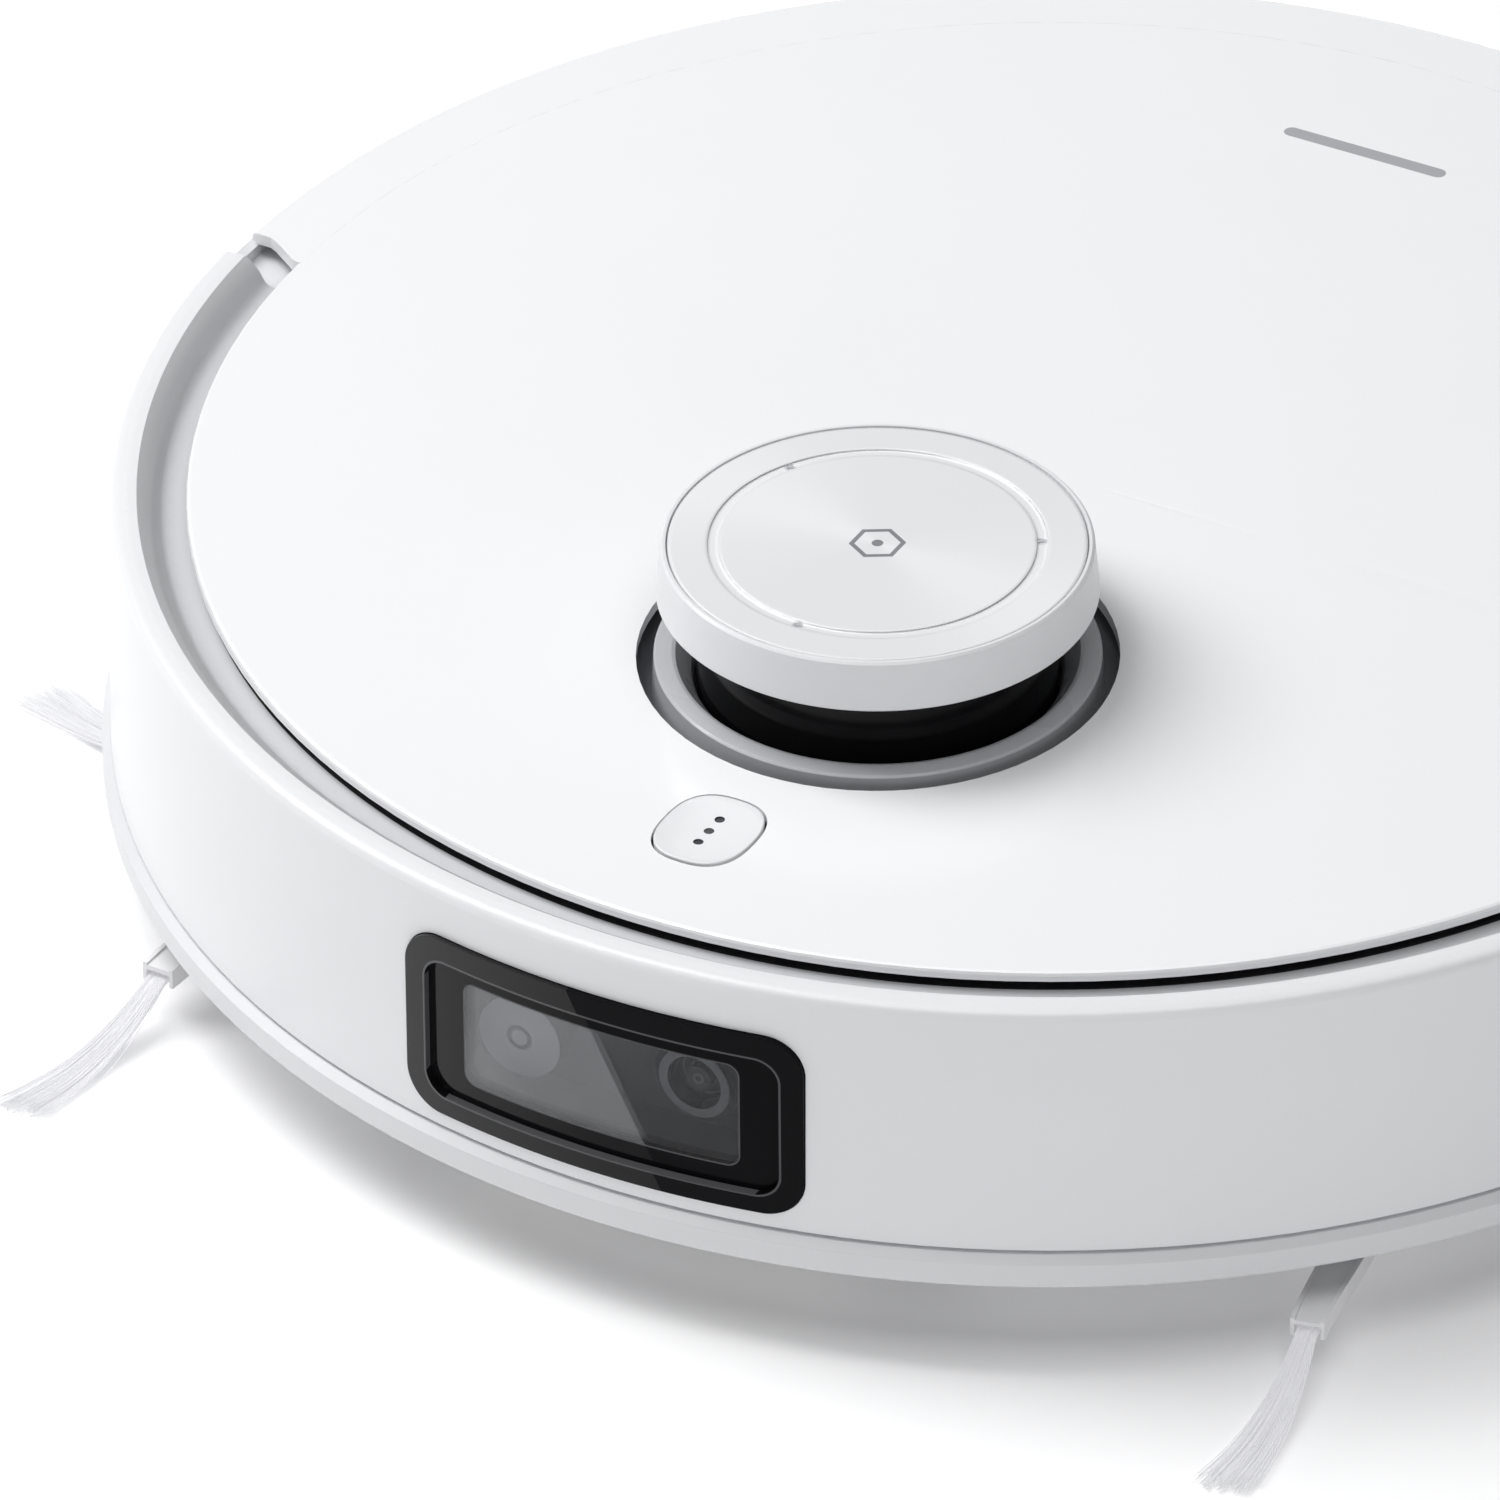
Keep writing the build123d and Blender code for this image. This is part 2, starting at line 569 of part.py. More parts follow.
with BuildPart() as turret_springs:
    with BuildSketch(Plane.XY.offset(97.0)):
        for deg in (30, 150, 270):
            with Locations(at_y(22.0, deg)):
                Circle(2.5)
                Circle(1.4, mode=Mode.SUBTRACT)
    extrude(amount=3.6)
save(turret_springs.part.moved(Location((0, TURRET_Y, 0))), "turret_springs")

with BuildPart() as lidar_rotor:
    with BuildSketch(Plane.XZ):
        section([(5 + RUN, 61.5), (28.0, 61.5), (28.0, 62.6), (BELT_R - 0.2, 62.8),
                      (BELT_R - 0.2, 66.2), (28.0, 66.4), (28.0, 67.4), (24.0, 68.0),
                      (24.0, 73.6), (31.0, 73.8), (31.0, 77.0), (9.0, 77.0), (9.0, 83.0),
                      (5 + RUN, 83.0)])
    revolve(axis=Axis.Z, revolution_arc=360)
    with BuildSketch(Plane.XY.offset(77.0)):
        with Locations((0, -19.0)):
            Rectangle(36.0, 12.0)
        with Locations((0, 19.0)):
            Rectangle(28.0, 10.0)
    extrude(amount=14.0)
    with BuildSketch(Plane.XZ.offset(18.0)):
        with Locations((-9.0, 85.0)):
            Circle(3.4)
        with Locations((8.0, 85.0)):
            Circle(4.6)
    extrude(amount=10.0, mode=Mode.SUBTRACT)
save(lidar_rotor.part.moved(Location((0, TURRET_Y, 0))), "lidar_rotor")

PULLEY_R = 5.0
with BuildPart() as lidar_belt:
    with BuildSketch(Plane.XY.offset(63.2)) as belt_outer:
        with Locations((0, TURRET_Y)):
            Circle(BELT_R + 1.0)
        with Locations(LIDAR_MOTOR):
            Circle(PULLEY_R + 1.0)
        make_hull(belt_outer.sketch_local.edges())
    extrude(amount=2.6)
    with BuildSketch(Plane.XY.offset(63.2)) as belt_inner:
        with Locations((0, TURRET_Y)):
            Circle(BELT_R)
        with Locations(LIDAR_MOTOR):
            Circle(PULLEY_R)
        make_hull(belt_inner.sketch_local.edges())
    extrude(amount=2.6, mode=Mode.SUBTRACT)
save(lidar_belt.part, "lidar_belt")

with BuildPart() as lidar_motor:
    with BuildSketch(Plane.XY.offset(40.0)):
        with Locations(LIDAR_MOTOR):
            Circle(10.0)
    extrude(amount=18.0)
    with BuildSketch(Plane.XY.offset(58.0)):
        with Locations(LIDAR_MOTOR):
            Circle(1.0)
    extrude(amount=9.5)
save(lidar_motor.part, "lidar_motor")

with BuildPart() as lidar_pulley:
    with BuildSketch(Plane.XZ):
        section([(1.0 + RUN, 61.8), (6.2, 61.8), (6.2, 62.8), (PULLEY_R - 0.1, 63.0),
                      (PULLEY_R - 0.1, 66.0), (6.2, 66.2), (6.2, 67.2), (1.0 + RUN, 67.2)])
    revolve(axis=Axis.Z, revolution_arc=360)
save(lidar_pulley.part.moved(Location((LIDAR_MOTOR[0], LIDAR_MOTOR[1], 0))), "lidar_pulley")

# ================================================================ electronics
with BuildPart() as main_board:
    with BuildSketch(Plane.XY.offset(60.9)):
        with Locations((-12.0, -130.0)):
            Rectangle(92.0, 34.0)
    extrude(amount=1.6)
    with BuildSketch(Plane.XY.offset(62.5)):
        with Locations((0, BUTTON_Y)):
            Rectangle(6.0, 6.0)
        with Locations((-34, -128), (-46, -138)):
            Rectangle(10.0, 8.0)
    extrude(amount=2.2)
save(main_board.part, "main_board")

with BuildPart() as battery_pack:
    with BuildSketch(Plane.XY.offset(16.6)):
        with Locations((0, 141.5)):
            RectangleRounded(128.0, 33.0, 3.0)
    extrude(amount=38.0)
    fillet(battery_pack.edges().group_by(Axis.Z)[-1], radius=2.0)
save(battery_pack.part, "battery_pack")

with BuildPart() as power_switch:
    with BuildSketch(Plane.XY.offset(67.6)):
        with Locations((84.5, -92.0)):
            Rectangle(12.0, 8.0)
    extrude(amount=1.8)
    with BuildSketch(Plane.XY.offset(69.4)):
        with Locations((83.8, -92.0)):
            Rectangle(4.0, 4.0)
    extrude(amount=4.6)
save(power_switch.part, "power_switch")

# ================================================================ dustbin and fan
with BuildPart() as dustbin_box:
    with BuildSketch(Plane.XY.offset(BIN_Z[0])):
        with Locations((0, 16.0)):
            RectangleRounded(132.0, 64.0, 3.0)
    extrude(amount=BIN_Z[1] - BIN_Z[0])
    with BuildSketch(Plane.XY.offset(BIN_Z[0] + 1.8)):
        with Locations((0, 16.0)):
            RectangleRounded(128.4, 60.4, 2.0)
    extrude(amount=40.0, mode=Mode.SUBTRACT)
    with BuildSketch(Plane.XZ.offset(20.0)):
        with Locations((0, 40.0)):
            Rectangle(56.0, 10.0)
    extrude(amount=-10.0, mode=Mode.SUBTRACT)
    with BuildSketch(Plane.XZ.offset(-42.0)):
        with Locations((0, 48.0)):
            Rectangle(50.0, 15.0)
    extrude(amount=-10.0, mode=Mode.SUBTRACT)
    # hinge ears for the lid
    for side in (-1, 1):
        with BuildSketch(axle_plane(LID_EAR_X[0], *LID_HINGE, side)) as ear:
            Circle(2.4)
            Rectangle(4.8, 9.0, align=(Align.CENTER, Align.MAX if side > 0 else Align.MIN))
            Circle(1.2 + RUN, mode=Mode.SUBTRACT)
        extrude(amount=LID_EAR_X[1] - LID_EAR_X[0])
save(dustbin_box.part, "dustbin_box")

with BuildPart() as dust_filter:
    with BuildSketch(Plane.XZ.offset(-44.0)):
        with Locations((0, 48.0)):
            Rectangle(49.8, 14.8)
    extrude(amount=-4.0)
save(dust_filter.part, "dust_filter")

with BuildPart() as dustbin_lid:
    with BuildSketch(Plane.XY.offset(61.6)):
        with Locations((0, 16.0)):
            RectangleRounded(132.0, 64.0, 3.0)
    extrude(amount=6.0)
    with BuildSketch(Plane.XY.offset(61.6)):
        with Locations((0, 16.0)):
            Rectangle(126.0, 58.0)
    extrude(amount=3.5, mode=Mode.SUBTRACT)
    # rear edge rounded about the hinge axis
    with BuildSketch(axle_plane(-70.0, *LID_HINGE)):
        Rectangle(8.0, 8.0, align=(Align.MIN, Align.CENTER))
        Circle(LID_EDGE_R, mode=Mode.SUBTRACT)
    extrude(amount=140.0, mode=Mode.SUBTRACT)
    # slots for the dustbin's hinge ears, crossed by the hinge pins
    for side in (-1, 1):
        with BuildSketch(Plane.XY.offset(61.0)):
            with Locations((side * sum(LID_EAR_X) / 2, LID_HINGE[0])):
                Rectangle(LID_EAR_X[1] - LID_EAR_X[0] + 0.4, 7.0)
        extrude(amount=7.0, mode=Mode.SUBTRACT)
        with BuildSketch(axle_plane(LID_EAR_X[0] - 1.0, *LID_HINGE, side)):
            Circle(1.2)
        extrude(amount=LID_EAR_X[1] - LID_EAR_X[0] + 2.0)
    # hinge ears for the handle
    for side in (-1, 1):
        with BuildSketch(Plane.XY.offset(67.6)):
            with Locations((side * 34.0, 22.0)):
                Rectangle(4.0, 8.0)
        extrude(amount=5.0)
        with BuildSketch(axle_plane(30.0, 22.0, 70.4, side)):
            Circle(1.2)
        extrude(amount=4.0)
save(dustbin_lid.part, "dustbin_lid")

with BuildPart() as dustbin_handle:
    with BuildSketch(Plane.XY.offset(68.9)):
        with Locations((0, 9.0)):
            Rectangle(63.0, 30.0)
        with Locations((0, 13.0)):
            Rectangle(53.0, 26.0, mode=Mode.SUBTRACT)
    extrude(amount=3.0)
    for side in (-1, 1):
        with BuildSketch(axle_plane(20.0, 22.0, 70.4, side)):
            Circle(1.2 + RUN)
        extrude(amount=12.0, mode=Mode.SUBTRACT)
save(dustbin_handle.part, "dustbin_handle")

with BuildPart() as fan_housing:
    with BuildSketch(Plane.XY.offset(18.0)):
        with Locations((0, FAN_Y)):
            Circle(32.0)
    extrude(amount=32.0)
    with BuildSketch(Plane.XY.offset(20.0)):
        with Locations((0, FAN_Y)):
            Circle(29.5)
    extrude(amount=28.0, mode=Mode.SUBTRACT)
    with BuildSketch(Plane.XY.offset(50.0)):
        with Locations((0, FAN_Y - 18.1)):
            Rectangle(52.0, 36.2)
        with Locations((0, FAN_Y)):
            Circle(26.0)
    extrude(amount=16.0)
    with BuildSketch(Plane.XY.offset(51.6)):
        with Locations((0, FAN_Y - 20.0)):
            Rectangle(48.0, 40.0)
        with Locations((0, FAN_Y)):
            Circle(24.0)
    extrude(amount=12.8, mode=Mode.SUBTRACT)
    with BuildSketch(Plane.XY.offset(47.0)):
        with Locations((0, FAN_Y)):
            Circle(15.0)
    extrude(amount=8.0, mode=Mode.SUBTRACT)
    with BuildSketch(Plane.XY.offset(24.0)):
        with Locations((0, FAN_Y + 31.0)):
            Rectangle(24.0, 10.0)
    extrude(amount=16.0, mode=Mode.SUBTRACT)
save(fan_housing.part, "fan_housing")

with BuildPart() as fan_motor:
    with BuildSketch(Plane.XY.offset(20.0)):
        with Locations((0, FAN_Y)):
            Circle(14.0)
    extrude(amount=15.0)
    with BuildSketch(Plane.XY.offset(22.0)):
        with Locations((0, FAN_Y)):
            Circle(2.0 + RUN)
    extrude(amount=20.0, mode=Mode.SUBTRACT)
save(fan_motor.part, "fan_motor")

with BuildPart() as fan_impeller:
    with BuildSketch(Plane.XY.offset(23.0)):
        with Locations((0, FAN_Y)):
            Circle(2.0)
    extrude(amount=16.0)
    with BuildSketch(Plane.XY.offset(36.5)):
        with Locations((0, FAN_Y)):
            Circle(26.0)
    extrude(amount=1.5)
    with BuildSketch(Plane.XY.offset(38.0)):
        with Locations((0, FAN_Y)):
            Circle(6.0)
            with PolarLocations(15.5, 9):
                with Locations(Location((0, 0, 0), (0, 0, 28))):
                    Rectangle(20.0, 1.4)
    extrude(amount=7.5)
save(fan_impeller.part, "fan_impeller")

# ================================================================ main brush
with BuildPart() as brush_housing:
    with BuildSketch(axle_plane(-78.0, BRUSH_Y, BRUSH_Z)) as tunnel:
        Circle(25.5)
        with Locations((0, -10.0)):
            Rectangle(51.0, 13.0)
        with Locations((0, -36.0)):
            Rectangle(60.0, 60.1, mode=Mode.SUBTRACT)
        with Locations((0, -3.0)):
            Rectangle(51.0, 6.0)
    extrude(amount=156.0)
    with BuildSketch(axle_plane(-76.0, BRUSH_Y, BRUSH_Z)):
        Circle(23.5)
        with Locations((0, -15.0)):
            Rectangle(47.0, 30.0)
    extrude(amount=152.0, mode=Mode.SUBTRACT)
    # bearings for the brush pins
    with BuildSketch(axle_plane(-78.0, BRUSH_Y, BRUSH_Z)):
        Circle(3.0 + RUN)
    extrude(amount=156.0, mode=Mode.SUBTRACT)
    # duct to the dustbin
    with BuildSketch(Plane.XY.offset(33.0)):
        with Locations((0, -29.0)):
            Rectangle(66.0, 19.0)
    extrude(amount=14.0)
    with BuildSketch(Plane.XZ.offset(52.0)):
        with Locations((0, 40.0)):
            Rectangle(60.0, 9.0)
    extrude(amount=-40.0, mode=Mode.SUBTRACT)
save(brush_housing.part, "brush_housing")

with BuildPart() as brush_frame:
    with BuildSketch(Plane.XY.offset(11.2)):
        with Locations((0, BRUSH_Y)):
            RectangleRounded(170.0, 64.0, 5.0)
            RectangleRounded(152.0, 46.0, 3.0, mode=Mode.SUBTRACT)
    extrude(amount=2.8)
save(brush_frame.part, "brush_frame")

with BuildPart() as main_brush_core:
    with BuildSketch(axle_plane(-BRUSH_HALF, BRUSH_Y, BRUSH_Z)):
        Circle(9.0)
    extrude(amount=2 * BRUSH_HALF)
    with BuildSketch(axle_plane(-77.8, BRUSH_Y, BRUSH_Z)):
        Circle(3.0)
    extrude(amount=155.6)
save(main_brush_core.part, "main_brush_core")

with BuildPart() as main_brush_fins:
    with BuildSketch(axle_plane(-BRUSH_HALF + 1.0, BRUSH_Y, BRUSH_Z)):
        with PolarLocations(14.7, 6):
            Rectangle(11.6, 2.4)
        Circle(9.05, mode=Mode.SUBTRACT)
        Circle(BRUSH_R, mode=Mode.INTERSECT)
    extrude(amount=2 * BRUSH_HALF - 2.0)
save(main_brush_fins.part, "main_brush_fins")

with BuildPart() as main_brush_motor:
    with BuildSketch(axle_plane(78.2, BRUSH_Y, BRUSH_Z + 10.0, -1)):
        RectangleRounded(32.0, 32.0, 3.0)
    extrude(amount=12.0)
    with BuildSketch(axle_plane(90.2, BRUSH_Y - 1.0, BRUSH_Z + 12.0, -1)):
        Circle(13.0)
    extrude(amount=26.0)
save(main_brush_motor.part, "main_brush_motor")


# ================================================================ side brushes
def polar(hub, radius, deg, shift=0.0):
    """Point at a radius and direction from a hub, moved sideways by shift."""
    a = math.radians(deg)
    return (hub[0] + radius * math.cos(a) - shift * math.sin(a),
            hub[1] + radius * math.sin(a) + shift * math.cos(a))


def holder_outline(hub, deg, grow, start=10.0):
    """Curved, tapering strip from the hub to the holder's tip."""
    left, right = [], []
    for i in range(7):
        radius = start + (SIDE_ARM_R - start) * i / 6
        t = (radius - 10.0) / (SIDE_ARM_R - 10.0)
        turn = deg + 9.0 * max(1.0 - t, 0.0) ** 2
        half = 4.3 - 1.0 * t + grow
        left.append(polar(hub, radius, turn, half))
        right.append(polar(hub, radius, turn, -half))
    return left + right[::-1]


def side_brush(hub, angles, name):
    """Hub with three curved channel-shaped holders and a drive shaft."""
    with BuildPart() as brush:
        with BuildSketch(Plane.XY.offset(6.6)):
            with Locations(hub):
                Circle(15.0)
        extrude(amount=6.4)
        fillet(brush.edges().group_by(Axis.Z)[0], radius=1.5)
        with BuildSketch(Plane.XY.offset(13.0)):
            with Locations(hub):
                Circle(3.0)
        extrude(amount=11.0)
        for deg in angles:
            with BuildSketch(Plane.XY.offset(7.0)):
                section(holder_outline(hub, deg, 0.0))
            extrude(amount=3.6)
        # raised ribs along both edges of each holder
        for deg in angles:
            with BuildSketch(Plane.XY.offset(10.6)):
                section(holder_outline(hub, deg, 0.0))
                Polygon(*holder_outline(hub, deg, -0.9, 9.0), align=None, mode=Mode.SUBTRACT)
            extrude(amount=0.4)
        # each holder is open underneath and at its tip
        for deg in angles:
            with BuildSketch(Plane.XY.offset(7.0)):
                section(holder_outline(hub, deg, -1.0, 30.0))
                with Locations(Location((*polar(hub, SIDE_ARM_R, deg), 0), (0, 0, deg))):
                    Rectangle(1.2, 5.0)
            extrude(amount=2.6, mode=Mode.SUBTRACT)
    save(brush.part, name)


def side_bristles(hub, angles, leans, name):
    """Three flat tufts that droop from their holders to the floor."""
    with BuildPart() as tufts:
        for deg, lean in zip(angles, leans):
            root = polar(hub, 35.4, deg)
            tip = polar(hub, SIDE_TIP_R, deg + lean)
            aim = math.atan2(tip[1] - root[1], tip[0] - root[0])
            reach = math.dist(root, tip)
            out = (math.cos(aim), math.sin(aim), 0)
            side = Plane(origin=(root[0], root[1], 0), x_dir=out, z_dir=(out[1], -out[0], 0))
            with BuildSketch(side.offset(-6.0)):
                section([(0.0, 7.3), (10.0, 7.3), (15.0, 4.2), (23.0, 0.4), (reach, 0.4),
                         (reach, 1.3), (23.6, 2.2), (16.6, 5.6), (10.2, 9.3), (0.0, 9.3)])
            extrude(amount=12.0)
        with BuildSketch(Plane.XY):
            for deg, lean in zip(angles, leans):
                root = polar(hub, 35.4, deg)
                tip = polar(hub, SIDE_TIP_R, deg + lean)
                aim = math.degrees(math.atan2(tip[1] - root[1], tip[0] - root[0]))
                reach = math.dist(root, tip) + 0.1
                with Locations(Location((*root, 0), (0, 0, aim))):
                    section([(0, -1.1), (9.6, -1.1), (reach, -5.8), (reach, 5.8),
                             (9.6, 1.1), (0, 1.1)])
        extrude(amount=12.0, mode=Mode.INTERSECT)
    save(tufts.part, name)


HUB_LEFT = (-SIDE_HUB[0], SIDE_HUB[1])
side_brush(HUB_LEFT, SIDE_ANGLE_LEFT, "side_brush_left")
side_brush(SIDE_HUB, SIDE_ANGLE_RIGHT, "side_brush_right")
side_bristles(HUB_LEFT, SIDE_ANGLE_LEFT, SIDE_LEAN_LEFT, "side_bristles_left")
side_bristles(SIDE_HUB, SIDE_ANGLE_RIGHT, SIDE_LEAN_RIGHT, "side_bristles_right")

with BuildPart() as side_brush_motors:
    for hub in (HUB_LEFT, SIDE_HUB):
        with BuildSketch(Plane.XY.offset(PAN_Z[1])):
            with Locations(hub):
                Circle(14.0)
        extrude(amount=32.0)
        with BuildSketch(Plane.XY.offset(PAN_Z[1])):
            with Locations(hub):
                Circle(3.0 + RUN)
        extrude(amount=8.5, mode=Mode.SUBTRACT)
save(side_brush_motors.part, "side_brush_motors")


# ================================================================ drive wheels
def wheel_module(side, tag):
    """Swing arm, gearmotor, gear pair, rim and tyre on one side."""
    def plane(x, at=(WHEEL_Y, WHEEL_R)):
        return Plane(origin=(side * x, at[0], at[1]), x_dir=(0, 1, 0), z_dir=(side, 0, 0))

    flip = side  # the sketch's y axis points up on the +X side and down on the other

    def rel(at):
        return (at[0] - WHEEL_Y, flip * (at[1] - WHEEL_R))

    with BuildPart() as arm:
        with BuildSketch(plane(ARM_X[0])) as body:
            with Locations((0, 0)):
                Circle(18.6)
            with Locations(rel(PINION_AT)):
                Circle(9.5)
            with Locations(rel(PIVOT)):
                Circle(8.0)
            make_hull(body.sketch_local.edges())
        extrude(amount=ARM_X[1] - ARM_X[0])
        with BuildSketch(plane(GEAR_X[0] - 1.0)) as hollow:
            with Locations((0, 0)):
                Circle(16.8)
            with Locations(rel(PINION_AT)):
                Circle(7.0)
            make_hull(hollow.sketch_local.edges())
        extrude(amount=GEAR_X[1] - GEAR_X[0] + 2.0, mode=Mode.SUBTRACT)
        with BuildSketch(plane(ARM_X[0])):
            Circle(3.0 + RUN)
        extrude(amount=20.0, mode=Mode.SUBTRACT)
        with BuildSketch(plane(ARM_X[0])):
            with Locations(rel(PIVOT)):
                Circle(3.0 + RUN)
        extrude(amount=20.0, mode=Mode.SUBTRACT)
        with BuildSketch(plane(ARM_X[0])):
            with Locations(rel(PINION_AT)):
                Circle(2.0)
        extrude(amount=2.0, mode=Mode.SUBTRACT)
    save(arm.part, "wheel_arm_" + tag)

    with BuildPart() as motor:
        with BuildSketch(plane(73.0, PINION_AT)):
            Circle(11.5)
        extrude(amount=ARM_X[0] - 73.0)
        with BuildSketch(plane(ARM_X[0], PINION_AT)):
            Circle(1.5)
        extrude(amount=8.6)
    save(motor.part, "drive_motor_" + tag)

    # at rest a pinion gap faces a tooth of the large gear on the line between them
    lean = math.degrees(math.atan2(rel(PINION_AT)[1], rel(PINION_AT)[0]))
    with BuildPart() as pinion:
        with BuildSketch(plane(GEAR_X[0], PINION_AT)):
            with Locations(Location((0, 0, 0), (0, 0, lean + 180.0 + 180.0 / GEAR_T[0]))):
                section(involute_points(GEAR_T[0], GEAR_M, 0.44))
            Circle(1.5 + RUN, mode=Mode.SUBTRACT)
        extrude(amount=GEAR_X[1] - GEAR_X[0])
    save(pinion.part, "drive_pinion_" + tag)

    with BuildPart() as gear:
        with BuildSketch(plane(GEAR_X[0])):
            with Locations(Location((0, 0, 0), (0, 0, lean))):
                section(involute_points(GEAR_T[1], GEAR_M, 0.44))
        extrude(amount=GEAR_X[1] - GEAR_X[0])
        with BuildSketch(plane(ARM_X[0] + 0.2)):
            Circle(3.0)
        extrude(amount=WHEEL_X[1] - 3.0 - ARM_X[0])
    save(gear.part, "axle_gear_" + tag)

    with BuildPart() as rim:
        with BuildSketch(plane(WHEEL_X[0])):
            Circle(28.0)
            Circle(3.0, mode=Mode.SUBTRACT)
        extrude(amount=WHEEL_X[1] - WHEEL_X[0])
        with BuildSketch(plane(WHEEL_X[0] + 12.0)):
            Circle(24.5)
            Circle(8.0, mode=Mode.SUBTRACT)
        extrude(amount=8.0, mode=Mode.SUBTRACT)
        with BuildSketch(plane(WHEEL_X[0] + 12.0)):
            with PolarLocations(16.0, 5):
                Rectangle(18.0, 3.0)
        extrude(amount=4.5)
    save(rim.part, "wheel_rim_" + tag)

    with BuildPart() as tyre:
        with BuildSketch(plane(WHEEL_X[0])):
            Circle(WHEEL_R - 2.0)
            with PolarLocations(WHEEL_R - 1.6, 30):
                Rectangle(3.2, 4.0)
            Circle(28.0, mode=Mode.SUBTRACT)
        extrude(amount=WHEEL_X[1] - WHEEL_X[0])
    save(tyre.part, "wheel_tyre_" + tag)


wheel_module(-1, "left")
wheel_module(1, "right")

# ================================================================ caster
with BuildPart() as caster_fork:
    with BuildSketch(Plane.XY.offset(33.5)):
        with Locations((0, CASTER_Y)):
            Circle(16.0)
    extrude(amount=4.0)
    with BuildSketch(Plane.XY.offset(37.5)):
        with Locations((0, CASTER_Y)):
            Circle(4.0)
    extrude(amount=13.0)
    for side in (-1, 1):
        with BuildSketch(Plane.XY.offset(11.0)):
            with Locations((side * 10.0, CASTER_Y + CASTER_TRAIL)):
                Rectangle(3.0, 14.0)
        extrude(amount=22.5)
    with BuildSketch(axle_plane(-12.0, CASTER_Y + CASTER_TRAIL, CASTER_R)):
        Circle(2.0)
    extrude(amount=24.0)
save(caster_fork.part, "caster_fork")

with BuildPart() as caster_wheel:
    with BuildSketch(axle_plane(-7.5, CASTER_Y + CASTER_TRAIL, CASTER_R)):
        Circle(CASTER_R)
    extrude(amount=15.0)
    fillet(caster_wheel.edges(), radius=2.0)
    with BuildSketch(axle_plane(-7.5, CASTER_Y + CASTER_TRAIL, CASTER_R)):
        Circle(2.0 + RUN)
    extrude(amount=15.0, mode=Mode.SUBTRACT)
save(caster_wheel.part, "caster_wheel")

# ================================================================ small underside parts
with BuildPart() as cliff_sensors:
    with BuildSketch(Plane.XY.offset(PAN_Z[0] + 0.2)):
        with Locations((-50, -148), (50, -148)):
            Rectangle(18.0, 10.0)
        with Locations((-153, -40), (153, -40), (-150, 46), (150, 46)):
            Rectangle(10.0, 18.0)
    extrude(amount=7.0)
save(cliff_sensors.part, "cliff_sensors")

with BuildPart() as charging_contacts:
    with BuildSketch(Plane.XY.offset(PAN_Z[0] - 0.4)):
        with Locations((-22, -157), (22, -157)):
            RectangleRounded(16.0, 6.0, 1.5)
    extrude(amount=3.4)
save(charging_contacts.part, "charging_contacts")

with BuildPart() as case_screws:
    for x, y in POSTS:
        with BuildSketch(Plane.XY.offset(14.6)):
            with Locations((x, y)):
                Circle(3.0)
        extrude(amount=1.6)
        with BuildSketch(Plane.XY.offset(16.2)):
            with Locations((x, y)):
                Circle(1.6)
        extrude(amount=13.0)
        with BuildSketch(Plane.XY.offset(14.6)):
            with Locations((x, y)):
                Rectangle(3.6, 0.8)
                Rectangle(0.8, 3.6)
        extrude(amount=0.8, mode=Mode.SUBTRACT)
save(case_screws.part, "case_screws")
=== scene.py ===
import math
import random

import bmesh
import bpy
from mathutils import Matrix, Vector


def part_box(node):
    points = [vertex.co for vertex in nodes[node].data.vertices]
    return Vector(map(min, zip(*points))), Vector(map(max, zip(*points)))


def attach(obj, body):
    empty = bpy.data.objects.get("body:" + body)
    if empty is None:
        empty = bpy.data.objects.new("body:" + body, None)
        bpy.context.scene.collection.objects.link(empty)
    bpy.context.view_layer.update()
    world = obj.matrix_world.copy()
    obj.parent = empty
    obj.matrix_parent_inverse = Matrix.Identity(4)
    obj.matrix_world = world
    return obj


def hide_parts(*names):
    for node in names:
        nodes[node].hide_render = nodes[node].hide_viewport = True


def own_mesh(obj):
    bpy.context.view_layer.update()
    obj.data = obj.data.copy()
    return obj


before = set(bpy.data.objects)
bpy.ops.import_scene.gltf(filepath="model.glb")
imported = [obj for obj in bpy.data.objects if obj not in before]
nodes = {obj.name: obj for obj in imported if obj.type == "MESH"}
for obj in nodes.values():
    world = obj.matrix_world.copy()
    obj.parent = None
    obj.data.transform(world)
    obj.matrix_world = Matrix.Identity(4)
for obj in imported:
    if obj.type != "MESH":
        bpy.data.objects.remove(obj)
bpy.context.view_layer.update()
MM = 0.001
random.seed(7)


